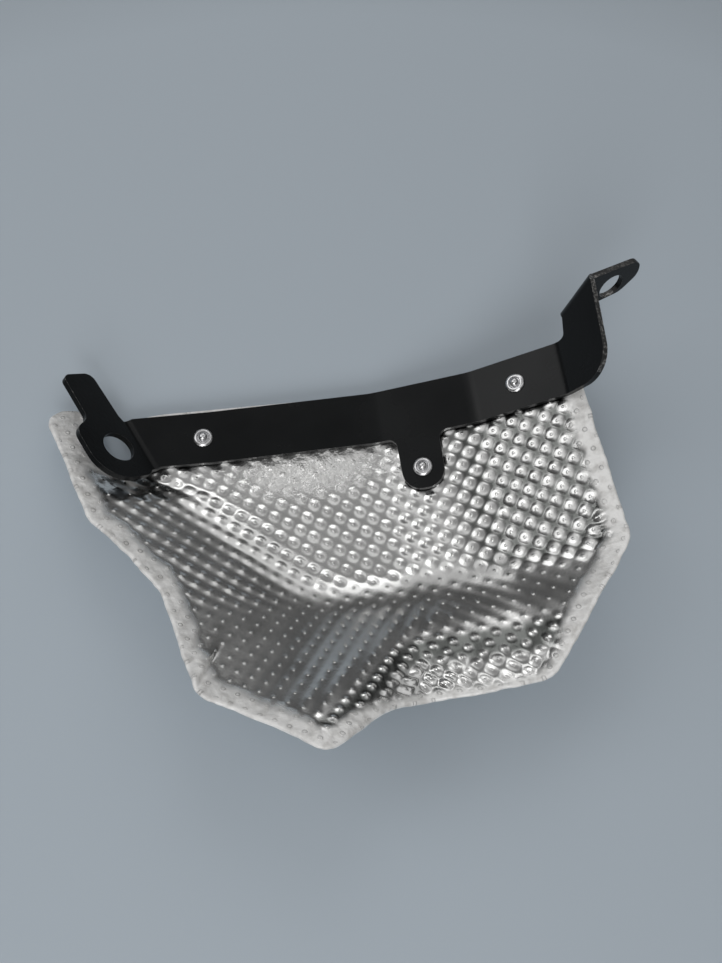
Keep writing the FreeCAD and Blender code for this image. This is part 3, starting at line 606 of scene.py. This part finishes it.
def field_lift(field, tips):
    """Everything that lifts the field off the plain sheet, in millimetres."""
    i, j, x, y, margin = field
    share = hem_share(x, y, margin)
    free = 1 - under_strip(x, y)
    radius = np.hypot(*in_cell(i, j)) * PITCH
    marks = MARK_HEIGHT * share * np.exp(-(radius / MARK_RADIUS) ** 2)
    relief = dimple_relief(i, j, x, y, tips) * (1 - share)
    return relief + free * (crumple(x, y) * (1 - share) + hem_lift(x, y, share)) + marks


front_lift = field_lift(front_field, True)
back_lift = np.minimum(field_lift(back_field, False) * BACK_SHARE, front_lift.max()) - SHEET
print("relief from", round(float(front_lift.min()), 2), "to", round(float(front_lift.max()), 2), "mm")


# %% [markdown]
# The triangulation gets the edge line as fixed edges and returns only the triangles inside it.

# %% Triangles of the field
def field_triangles(field):
    count = len(edge_line)
    points = [Vector(point) for point in edge_line]
    points += [Vector((a, b)) for a, b in zip(field[2], field[3])]
    edges = [(index, (index + 1) % count) for index in range(count)]
    found = delaunay_2d_cdt(points, edges, [], 1, 1e-5)
    source = [origins[0] for origins in found[3]]
    triangles = []
    for face in found[2]:
        a, b, c = [source[index] for index in face]
        area = (points[b] - points[a]).cross(points[c] - points[a])
        triangles.append((a, b, c) if area > 0 else (a, c, b))
    return triangles


front_triangles = field_triangles(front_field)
back_triangles = field_triangles(back_field)
print("triangles", len(front_triangles), "in front and", len(back_triangles), "behind")


# %% [markdown]
# The round edge of the fold is swept from the front field's border to the back field's border, so that the
# skin is closed all round.

# %% Round edge of the hem
EDGE_TURN = [
    (1.0, 1.0), (0.62, 0.93), (0.3, 0.72), (0.1, 0.42), (0.0, 0.0),
    (0.1, -0.42), (0.3, -0.72), (0.62, -0.93), (1.0, -1.0),
]
UNDER_HEM = 0.15


def edge_rings():
    """Rings of points round the folded edge, from the front border to the back border."""
    x, y = edge_line.T
    free = 1 - under_strip(x, y)
    top = free * hem_lift(x, y, np.ones(len(x)))
    bottom = np.full(len(x), -SHEET - UNDER_HEM)
    rings = []
    for inward, share in EDGE_TURN:
        place = rim[:, :2] + rim[:, 2:] * (EDGE * inward)
        lift = (top + bottom) / 2 + (top - bottom) / 2 * share
        rings.append(lifted(place[:, 0], place[:, 1], lift))
    return rings


rings = edge_rings()
print("edge of", len(rings), "rings")


# %% [markdown]
# The finish has to know where the hem, the scratched patch and the grooves with their painted shade are, and
# where each dimple sits.
# The first three are stored as a value at each point, and the lattice coordinates as a UV map. They could
# be painted by hand, but the formulas that made the relief already know them.

# %% Values for the finish
RUBBED_AS_HEM = 0.35
LATTICE_STEPS = 30


def plan_to_lattice(x, y):
    """Lattice coordinates of places in plan, by a few steps towards the right blank point."""
    u, v = np.copy(x), np.copy(y)
    for _ in range(LATTICE_STEPS):
        now_x, now_y = blank_to_plan(u, v)
        u = u + x - now_x
        v = v + y - now_y
    u = (u - LATTICE_START[0]) / PITCH
    v = (v - LATTICE_START[1]) / PITCH
    cos, sin = math.cos(LATTICE_TURN), math.sin(LATTICE_TURN)
    return u * cos + v * sin, v * cos - u * sin


def store_finish_values(mesh, first_front, first_back):
    """Rubbed, hem and groove values of each point."""
    count = len(mesh.vertices)
    front = slice(first_front, first_back)
    rubbed = np.zeros(count)
    rubbed[front] = rubbed_share(front_field[2], front_field[3])
    hem = np.ones(count)
    hem[front] = hem_share(*front_field[2:])
    hem[first_back:] = hem_share(*back_field[2:])
    hem = np.maximum(hem, RUBBED_AS_HEM * rubbed)
    # The groove value says where painted shade goes into the colour.
    groove_shade = np.zeros(count)
    groove_shade[front] = (1 - hem[front]) * groove_shade_share(*front_field[:4])
    for name, values in (("rubbed", rubbed), ("hem", hem), ("groove_shade", groove_shade)):
        mesh.attributes.new(name, "FLOAT", "POINT").data.foreach_set("value", values)


def store_lattice(mesh):
    """Lattice coordinates of each point, as a UV map."""
    edge = np.stack(plan_to_lattice(rim[:, 0], rim[:, 1]), axis=-1)
    front = np.stack(front_field[:2], axis=-1)
    back = np.stack(back_field[:2], axis=-1)
    lattice = np.concatenate([np.tile(edge, (len(rings), 1)), front, back])
    corner_points = np.zeros(len(mesh.loops), int)
    mesh.loops.foreach_get("vertex_index", corner_points)
    mesh.uv_layers.new(name="lattice").data.foreach_set("uv", lattice[corner_points].ravel())


i, j = plan_to_lattice(*lattice_to_plan(np.array([3.0]), np.array([2.0])))
print("dimple 3, 2 is found again at", round(float(i[0]), 3), round(float(j[0]), 3))


# %% [markdown]
# All the parts of the skin are joined in one mesh: the rings of the round edge, the front field and the
# back field. Bridging them by hand would need as many points on both sides, so the faces are listed.

# %% Build the shield
def skin_faces(first_front, first_back):
    """Faces of the edge rings, the front field and the back field."""
    stations = len(rim)
    last_ring = (len(rings) - 1) * stations
    faces = []
    for number in range(len(rings) - 1):
        near = number * stations
        far = near + stations
        for index in range(stations):
            ahead = (index + 1) % stations
            faces.append((far + index, far + ahead, near + ahead, near + index))
    for triangle in front_triangles:
        faces.append([k if k < stations else k - stations + first_front for k in triangle])
    for triangle in back_triangles:
        turned = [k + last_ring if k < stations else k - stations + first_back for k in triangle]
        faces.append(turned[::-1])
    return faces


def build_shield():
    field_front = lifted(front_field[2], front_field[3], front_lift)
    field_back = lifted(back_field[2], back_field[3], back_lift)
    first_front = len(rings) * len(rim)
    first_back = first_front + len(field_front)
    points = np.concatenate([*rings, field_front, field_back])
    mesh = bpy.data.meshes.new("embossed_shield")
    mesh.from_pydata([tuple(point) for point in points], [], skin_faces(first_front, first_back))
    mesh.validate()
    store_finish_values(mesh, first_front, first_back)
    store_lattice(mesh)
    mesh.polygons.foreach_set("use_smooth", np.ones(len(mesh.polygons), bool))
    piece = bpy.data.objects.new("embossed_shield", mesh)
    scene.collection.objects.link(piece)
    return piece


shield = build_shield()
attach(shield, "root")
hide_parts("shield_panel")
print("shield of", len(shield.data.vertices), "points and", len(shield.data.polygons), "faces")


# %% [markdown]
# The bracket is cut from strip and bent, so its flats and bends are exactly those of the solid. A copy of
# its node is merged, its flats are joined into whole faces again, and a narrow bevel breaks the stamped
# edges. The bevels and the cut edge of the riser get the second material, which shows wear.

# %% Bracket
MERGE = 0.00002
STRAY = 0.00001
FLAT_ANGLE = math.radians(0.5)
SHARP_ANGLE = math.radians(40)
SMOOTH_ANGLE = math.radians(35)
BEVEL = 0.35 * MM
CUT_START = 0.145
CUT_WAY = Vector((0.49, 0.0, 0.87))


def start_editing(piece):
    """Edit mode on one piece, with its whole mesh selected."""
    bpy.ops.object.select_all(action="DESELECT")
    piece.select_set(True)
    bpy.context.view_layer.objects.active = piece
    bpy.ops.object.mode_set(mode="EDIT")
    bpy.ops.mesh.select_all(action="SELECT")


def break_edges(piece):
    edge = piece.modifiers.new("broken_edge", "BEVEL")
    edge.width = BEVEL
    edge.segments = 2
    edge.limit_method = "ANGLE"
    edge.angle_limit = SHARP_ANGLE
    edge.harden_normals = False
    edge.material = 1
    bpy.ops.object.modifier_apply(modifier=edge.name)
    start_editing(piece)
    bpy.ops.mesh.dissolve_degenerate(threshold=STRAY)
    bpy.ops.object.mode_set(mode="OBJECT")


def build_bracket():
    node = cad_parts["mounting_bracket"]
    piece = bpy.data.objects.new("coated_bracket", node.data.copy())
    scene.collection.objects.link(piece)
    piece.data.materials.clear()
    piece.data.materials.append(bpy.data.materials.new("flat_place"))
    piece.data.materials.append(bpy.data.materials.new("edge_place"))
    start_editing(piece)
    bpy.ops.mesh.remove_doubles(threshold=MERGE)
    bpy.ops.mesh.dissolve_limited(angle_limit=FLAT_ANGLE)
    bpy.ops.object.mode_set(mode="OBJECT")
    break_edges(piece)
    bpy.ops.object.shade_smooth_by_angle(angle=SMOOTH_ANGLE)
    flats = piece.modifiers.new("even_flats", "WEIGHTED_NORMAL")
    flats.keep_sharp = True
    flats.weight = 80
    bpy.ops.object.modifier_apply(modifier=flats.name)
    for face in piece.data.polygons:
        if face.center.x > CUT_START and face.normal.dot(CUT_WAY) > 0.5:
            face.material_index = 1
    return piece


bracket = build_bracket()
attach(bracket, "root")
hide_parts("mounting_bracket")
print("bracket of", len(bracket.data.polygons), "faces")


# %% [markdown]
# A blind rivet shows a domed flange, a dark groove and the broken pin standing in it like a small ball. The
# half section is drawn once and spun round its axis, as on a lathe. The three copies become one piece.

# %% One rivet
RIVET_PATH = [
    (0.0, 2.45), (0.45, 2.4), (0.9, 2.2), (1.25, 1.88), (1.45, 1.45), (1.5, 1.0), (1.46, 0.62),
    (1.5, 0.3), (1.72, 0.26), (1.9, 0.4), (1.98, 0.75), (2.08, 0.93), (2.3, 0.97), (2.6, 0.9),
    (2.95, 0.68), (3.18, 0.42), (3.25, 0.25), (3.22, 0.1), (3.1, 0.05), (1.6, 0.05), (1.6, -4.05),
    (2.7, -4.1), (2.8, -4.3), (2.7, -5.1), (2.2, -5.6), (0.0, -5.65),
]
RIVET_STEPS = 40
RIVET_MERGE = 0.000005
RIVET_SMOOTH = math.radians(50)
RIVET_PLACES = [(0, -57.7, 0.0), (1, 13.4, -20.5), (2, 15.2, 0.0)]


def spun_rivet(name):
    mesh = bpy.data.meshes.new(name)
    points = [(r * MM, 0.0, z * MM) for r, z in RIVET_PATH]
    mesh.from_pydata(points, [(k, k + 1) for k in range(len(points) - 1)], [])
    piece = bpy.data.objects.new(name, mesh)
    scene.collection.objects.link(piece)
    start_editing(piece)
    bpy.ops.mesh.spin(steps=RIVET_STEPS, angle=2 * math.pi, center=(0, 0, 0), axis=(0, 0, 1))
    bpy.ops.mesh.select_all(action="SELECT")
    bpy.ops.mesh.remove_doubles(threshold=RIVET_MERGE)
    bpy.ops.mesh.normals_make_consistent(inside=False)
    bpy.ops.object.mode_set(mode="OBJECT")
    bpy.ops.object.shade_smooth_by_angle(angle=RIVET_SMOOTH)
    return piece


def on_strip(facet, reach, across):
    """Turn and place of a rivet on facet 0, 1 or 2 of the strip."""
    tilt = TILTS[facet]
    x, z = (0.0, STRIP_FRONT) if facet == 0 else facet_corner(facet - 1, 0.0)
    spot = np.array((x + reach * math.cos(tilt), across, z + reach * math.sin(tilt)))
    return Matrix.Translation(Vector((spot - ORIGIN) * MM)) @ Matrix.Rotation(-tilt, 4, "Y")


rivet_copies = []
for number, (facet, reach, across) in enumerate(RIVET_PLACES):
    copy = spun_rivet("rivet_%d" % number)
    copy.data.transform(on_strip(facet, reach, across))
    rivet_copies.append(copy)
bpy.ops.object.select_all(action="DESELECT")
for copy in rivet_copies:
    copy.select_set(True)
bpy.context.view_layer.objects.active = rivet_copies[0]
bpy.ops.object.join()
rivets = bpy.context.object
rivets.name = "blind_rivets"
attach(rivets, "root")
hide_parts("rivets")
print("rivets of", len(rivets.data.polygons), "faces")


# %% [markdown]
# A finish is a small graph of nodes. Each helper makes one node, sets its values and hands back its output,
# so that a finish reads from top to bottom. The node editor does the same by hand.

# %% Nodes of a finish
def new_material(name):
    material = bpy.data.materials.new(name)
    material.use_nodes = True
    tree = material.node_tree
    return material, tree, tree.nodes["Principled BSDF"]


def object_place(tree):
    return tree.nodes.new("ShaderNodeTexCoord").outputs["Object"]


def attribute_value(tree, name):
    node = tree.nodes.new("ShaderNodeAttribute")
    node.attribute_name = name
    return node.outputs["Fac"]


def noise_node(tree, place, scale, detail):
    node = tree.nodes.new("ShaderNodeTexNoise")
    node.inputs["Scale"].default_value = scale
    node.inputs["Detail"].default_value = detail
    tree.links.new(place, node.inputs["Vector"])
    return node.outputs["Fac"]


def map_range(tree, value, low, high, low_out, high_out):
    """Value carried from one range to another, and held at its ends."""
    node = tree.nodes.new("ShaderNodeMapRange")
    node.inputs["From Min"].default_value = low
    node.inputs["From Max"].default_value = high
    node.inputs["To Min"].default_value = low_out
    node.inputs["To Max"].default_value = high_out
    tree.links.new(value, node.inputs["Value"])
    return node.outputs["Result"]


def math_node(tree, operation, first, second):
    node = tree.nodes.new("ShaderNodeMath")
    node.operation = operation
    tree.links.new(first, node.inputs[0])
    if isinstance(second, float):
        node.inputs[1].default_value = second
    else:
        tree.links.new(second, node.inputs[1])
    return node.outputs["Value"]


def mix_node(tree, kind, share, first, second):
    """Mix of two values or colours by a share; each is a plain colour or an output."""
    node = tree.nodes.new("ShaderNodeMix")
    node.data_type = kind
    tree.links.new(share, node.inputs["Factor"])
    for name, given in (("A", first), ("B", second)):
        if isinstance(given, tuple):
            node.inputs[name].default_value = given
        else:
            tree.links.new(given, node.inputs[name])
    return node.outputs["Result"]


def bump_node(tree, height, strength, distance, under=None):
    """Bump of a height, laid over the one under it."""
    node = tree.nodes.new("ShaderNodeBump")
    node.inputs["Strength"].default_value = strength
    node.inputs["Distance"].default_value = distance
    tree.links.new(height, node.inputs["Height"])
    if under is not None:
        tree.links.new(under, node.inputs["Normal"])
    return node.outputs["Normal"]


def plug_in(tree, shader, values):
    """Links each named input of the shader to its value."""
    for name, value in values.items():
        tree.links.new(value, shader.inputs[name])


helpers = [attribute_value, noise_node, map_range, math_node, mix_node, bump_node, plug_in]
print("helpers", [helper.__name__ for helper in helpers])


# %% [markdown]
# Bare aluminium is a metal shader. What makes it read as rolled and drawn sheet is its uneven roughness and
# a fine grain. The folded hem is duller and paler than the field, because it was rubbed in the press.

# %% Aluminium of the sheet
RING_RADIUS = 0.13
RING_WIDTH = 0.06
FIELD_TONE = (0.80, 0.80, 0.79, 1)
HEM_TONES = ((0.97, 0.965, 0.95, 1), (0.74, 0.73, 0.71, 1))
RING_TONE = (0.3, 0.3, 0.29, 1)
# Painted shade: the dark tone laid into the grooves between pads and along the fold of the front wall.
GROOVE_SHADE_TONE = (0.13, 0.135, 0.13, 1)
SCRATCH_SCALE = (60.0, 900.0, 60.0)
SCRATCH_TURN = (0.0, 0.0, math.radians(-8.0))


def from_cell_centre(tree):
    """Distance from the middle of each lattice cell, in cells."""
    lattice = tree.nodes.new("ShaderNodeUVMap")
    lattice.uv_map = "lattice"
    moved = tree.nodes.new("ShaderNodeVectorMath")
    moved.operation = "ADD"
    moved.inputs[1].default_value = (0.5, 0.5, 0.5)
    tree.links.new(lattice.outputs["UV"], moved.inputs[0])
    cell = tree.nodes.new("ShaderNodeVectorMath")
    cell.operation = "FRACTION"
    tree.links.new(moved.outputs["Vector"], cell.inputs[0])
    length = tree.nodes.new("ShaderNodeVectorMath")
    length.operation = "DISTANCE"
    length.inputs[1].default_value = (0.5, 0.5, 0.5)
    tree.links.new(cell.outputs["Vector"], length.inputs[0])
    return length.outputs["Value"]


def dimple_ring(tree):
    """Flattened ring of each dimple: one on the ring and nothing off it."""
    away = math_node(tree, "SUBTRACT", from_cell_centre(tree), RING_RADIUS)
    away = math_node(tree, "ABSOLUTE", away, 0.0)
    return map_range(tree, away, 0.0, RING_WIDTH, 1.0, 0.0)


def scratch_lines(tree, place):
    """Noise drawn out into fine lines, nearly along the strip."""
    stretch = tree.nodes.new("ShaderNodeMapping")
    stretch.inputs["Scale"].default_value = SCRATCH_SCALE
    stretch.inputs["Rotation"].default_value = SCRATCH_TURN
    tree.links.new(place, stretch.inputs["Vector"])
    return noise_node(tree, stretch.outputs["Vector"], 1.0, 3.0)


def sheet_roughness(tree, hem, cloud, blotch):
    field = map_range(tree, cloud, 0.3, 0.7, 0.16, 0.26)
    pressed = map_range(tree, blotch, 0.35, 0.65, 0.36, 0.6)
    return mix_node(tree, "FLOAT", hem, field, pressed)


def sheet_colour(tree, hem, cloud, blotch):
    """Tones of the field and the blotchy hem, the darker rings of the hem and painted shade in the grooves.
    """
    hem_tone = mix_node(tree, "RGBA", map_range(tree, blotch, 0.45, 0.7, 0.0, 1.0), *HEM_TONES)
    tone = mix_node(tree, "RGBA", hem, FIELD_TONE, hem_tone)
    # Darker ring of each flattened dimple on the hem.
    ring = math_node(tree, "MULTIPLY", dimple_ring(tree), hem)
    ring = math_node(tree, "MULTIPLY", ring, map_range(tree, cloud, 0.4, 0.62, 0.08, 0.6))
    ringed = mix_node(tree, "RGBA", ring, tone, RING_TONE)
    # Painted shade darkens the grooves between pads and the fold of the front wall.
    groove_shade = map_range(tree, attribute_value(tree, "groove_shade"), 0.35, 1.0, 0.0, 1.0)
    return mix_node(tree, "RGBA", groove_shade, ringed, GROOVE_SHADE_TONE)


def sheet_metal(tree, hem, blotch):
    """Metal in the field, and much less of it on the hem."""
    dull = math_node(tree, "MULTIPLY", hem, map_range(tree, blotch, 0.35, 0.65, 0.95, 0.7))
    return map_range(tree, dull, 0.0, 1.0, 1.0, 0.0)


def sheet_bumps(tree, place, hem, blotch):
    """Grain and nibs all over, scratches and dents on the hem, and the crinkles of the rubbed patch."""
    grain = noise_node(tree, place, 1400.0, 3.0)
    nib = map_range(tree, from_cell_centre(tree), 0.05, 0.11, 1.0, 0.0)
    scratch = math_node(tree, "MULTIPLY", scratch_lines(tree, place), hem)
    rubbed = attribute_value(tree, "rubbed")
    crinkle = math_node(tree, "MULTIPLY", noise_node(tree, place, 620.0, 3.0), rubbed)
    dents = math_node(tree, "ADD", math_node(tree, "MULTIPLY", dimple_ring(tree), 0.6), blotch)
    dents = math_node(tree, "MULTIPLY", dents, hem)
    normal = bump_node(tree, grain, 0.12, 0.2 * MM)
    normal = bump_node(tree, nib, 0.5, 0.2 * MM, normal)
    normal = bump_node(tree, scratch, 0.6, 0.2 * MM, normal)
    normal = bump_node(tree, crinkle, 1.0, 0.9 * MM, normal)
    return bump_node(tree, dents, 0.6, 0.7 * MM, normal)


def sheet_finish():
    material, tree, shader = new_material("embossed_aluminium")
    place = object_place(tree)
    hem = attribute_value(tree, "hem")
    cloud = noise_node(tree, place, 90.0, 4.0)
    blotch = noise_node(tree, place, 330.0, 4.0)
    plug_in(tree, shader, {
        "Roughness": sheet_roughness(tree, hem, cloud, blotch),
        "Base Color": sheet_colour(tree, hem, cloud, blotch),
        "Metallic": sheet_metal(tree, hem, blotch),
        "Normal": sheet_bumps(tree, place, hem, blotch),
    })
    return material


shield.data.materials.append(sheet_finish())
print("finish", shield.data.materials[0].name)


# %% [markdown]
# The bracket has a thin black coating with a satin gloss. On the bevels and on the cut edge of the riser a
# fine noise decides where it is worn through to bright steel, mostly at the riser and the tongue.

# %% Black coating and rivet metal
COATING_TONES = ((0.004, 0.0045, 0.005, 1), (0.009, 0.01, 0.0105, 1))
WORN_TONES = ((0.008, 0.0085, 0.009, 1), (0.55, 0.54, 0.52, 1))
RIVET_TONE = (0.74, 0.74, 0.75, 1)
RISER_X = (0.14, 0.15)
FOLD_Y = (0.014, 0.021)
TAB_Y = (0.0255, 0.0275)
TONGUE_X = (-0.004, -0.01)


def coating_finish():
    material, tree, shader = new_material("black_coating")
    place = object_place(tree)
    cloud = noise_node(tree, place, 60.0, 5.0)
    shader.inputs["Specular IOR Level"].default_value = 0.2
    plug_in(tree, shader, {
        "Roughness": map_range(tree, cloud, 0.3, 0.7, 0.2, 0.3),
        "Base Color": mix_node(tree, "RGBA", cloud, *COATING_TONES),
        "Normal": bump_node(tree, noise_node(tree, place, 900.0, 2.0), 0.1, 0.2 * MM),
    })
    return material


def worn_places(tree, place):
    """How far the coating can be gone: most at the fold of the riser and at the tongue, little on the tab."""
    along = tree.nodes.new("ShaderNodeSeparateXYZ")
    tree.links.new(place, along.inputs[0])
    riser = map_range(tree, along.outputs["X"], *RISER_X, 0.12, 0.55)
    fold = map_range(tree, along.outputs["Y"], *FOLD_Y, 1.0, 1.8)
    tab = map_range(tree, along.outputs["Y"], *TAB_Y, 1.0, 0.2)
    riser = math_node(tree, "MULTIPLY", riser, math_node(tree, "MULTIPLY", fold, tab))
    tongue = map_range(tree, along.outputs["X"], *TONGUE_X, 0.0, 0.9)
    return math_node(tree, "MAXIMUM", riser, tongue)


def worn_finish():
    material, tree, shader = new_material("worn_edge")
    place = object_place(tree)
    specks = noise_node(tree, place, 1100.0, 6.0)
    bare = map_range(tree, specks, 0.5, 0.66, 0.08, 1.0)
    bare = math_node(tree, "MULTIPLY", bare, worn_places(tree, place))
    plug_in(tree, shader, {
        "Base Color": mix_node(tree, "RGBA", bare, *WORN_TONES),
        "Metallic": bare,
        "Roughness": map_range(tree, specks, 0.3, 0.7, 0.3, 0.45),
    })
    return material


def rivet_finish():
    material, tree, shader = new_material("rivet_aluminium")
    cloud = noise_node(tree, object_place(tree), 700.0, 3.0)
    plug_in(tree, shader, {"Roughness": map_range(tree, cloud, 0.3, 0.7, 0.2, 0.38)})
    shader.inputs["Base Color"].default_value = RIVET_TONE
    shader.inputs["Metallic"].default_value = 1.0
    return material


bracket.data.materials[0] = coating_finish()
bracket.data.materials[1] = worn_finish()
rivets.data.materials.clear()
rivets.data.materials.append(rivet_finish())
print("finishes", bracket.data.materials[0].name, rivets.data.materials[0].name)


# %% [markdown]
# Polished metal shows its surroundings, so the light is laid out for the reflections. The floor is painted
# with a pool of light: pale near the part and painted dark far out as shade, because the front wall mirrors
# it there. Three soft lamps stand high on the left, at the back and in front.

# %% Floor and light
MIDDLE = Vector((0.07, -0.03, 0.0))
FLOOR_SIZE = 14.0
# Painted light: a pale pool round the part, and painted shade far out.
PAINTED_POOL_TONES = ((0.47, 0.535, 0.595, 1), (0.14, 0.15, 0.16, 1))
FADE_CENTRE = (0.0, -0.15, 0.0)
FADE_START = 0.36
FADE_END = 0.62
LAMP_DISTANCE = 1.2


def floor_finish():
    material, tree, shader = new_material("floor_paint")
    far_out = tree.nodes.new("ShaderNodeVectorMath")
    far_out.operation = "DISTANCE"
    far_out.inputs[1].default_value = FADE_CENTRE
    tree.links.new(object_place(tree), far_out.inputs[0])
    # Painted pool of light: pale near the middle, dark as shade far out.
    pool_falloff = map_range(tree, far_out.outputs["Value"], FADE_START, FADE_END, 0.0, 1.0)
    plug_in(tree, shader, {"Base Color": mix_node(tree, "RGBA", pool_falloff, *PAINTED_POOL_TONES)})
    shader.inputs["Roughness"].default_value = 0.6
    return material


def soft_lamp(name, direction, width, power):
    bpy.ops.object.light_add(type="AREA")
    lamp = bpy.context.object
    lamp.name = name
    lamp.data.shape = "DISK"
    lamp.data.size = width
    lamp.data.energy = power
    aim = Vector(direction).normalized()
    lamp.location = MIDDLE + aim * LAMP_DISTANCE
    lamp.rotation_euler = aim.to_track_quat("Z", "Y").to_euler()


bpy.ops.mesh.primitive_plane_add(size=FLOOR_SIZE, location=(MIDDLE.x, MIDDLE.y, cad_box[0][2]))
floor = bpy.context.object
floor.name = "floor"
floor.data.materials.append(floor_finish())
soft_lamp("high_left_lamp", (-0.7, 0.34, 0.62), 0.7, 1.5)
soft_lamp("back_lamp", (0.1, 0.71, 0.7), 0.5, 0.7)
soft_lamp("front_lamp", (-0.25, -0.8, 0.6), 0.7, 5.2)


# %% [markdown]
# The sky is dim overhead, which the flats mirror, bright in a broad ring round that, and dark near the
# horizon, which the front wall mirrors. A ramp over the slant from one axis gives it.

# %% The sky
SKY_AXIS = (0.1, 0.3, 0.949)
SKY_TONES = [
    (0.0, 0.07), (0.3, 0.07), (0.5, 0.08), (0.63, 0.17),
    (0.73, 0.82), (0.87, 0.6), (0.94, 0.34), (1.0, 0.24),
]


def gradient_sky():
    world = bpy.data.worlds.new("studio_sky")
    scene.world = world
    world.use_nodes = True
    tree = world.node_tree
    sky = tree.nodes["Background"]
    slant = tree.nodes.new("ShaderNodeVectorMath")
    slant.operation = "DOT_PRODUCT"
    slant.inputs[1].default_value = SKY_AXIS
    tree.links.new(tree.nodes.new("ShaderNodeTexCoord").outputs["Generated"], slant.inputs[0])
    steps = tree.nodes.new("ShaderNodeValToRGB")
    tree.links.new(slant.outputs["Value"], steps.inputs["Fac"])
    ramp = steps.color_ramp.elements
    for element, (position, value) in zip((ramp[0], ramp[1]), (SKY_TONES[0], SKY_TONES[-1])):
        element.position = position
        element.color = (value, value, value, 1)
    for position, value in SKY_TONES[1:-1]:
        element = ramp.new(position)
        element.color = (value, value, value, 1)
    tree.links.new(steps.outputs["Color"], sky.inputs["Color"])
    sky.inputs["Strength"].default_value = 1.0


gradient_sky()
print("sky", scene.world.name)
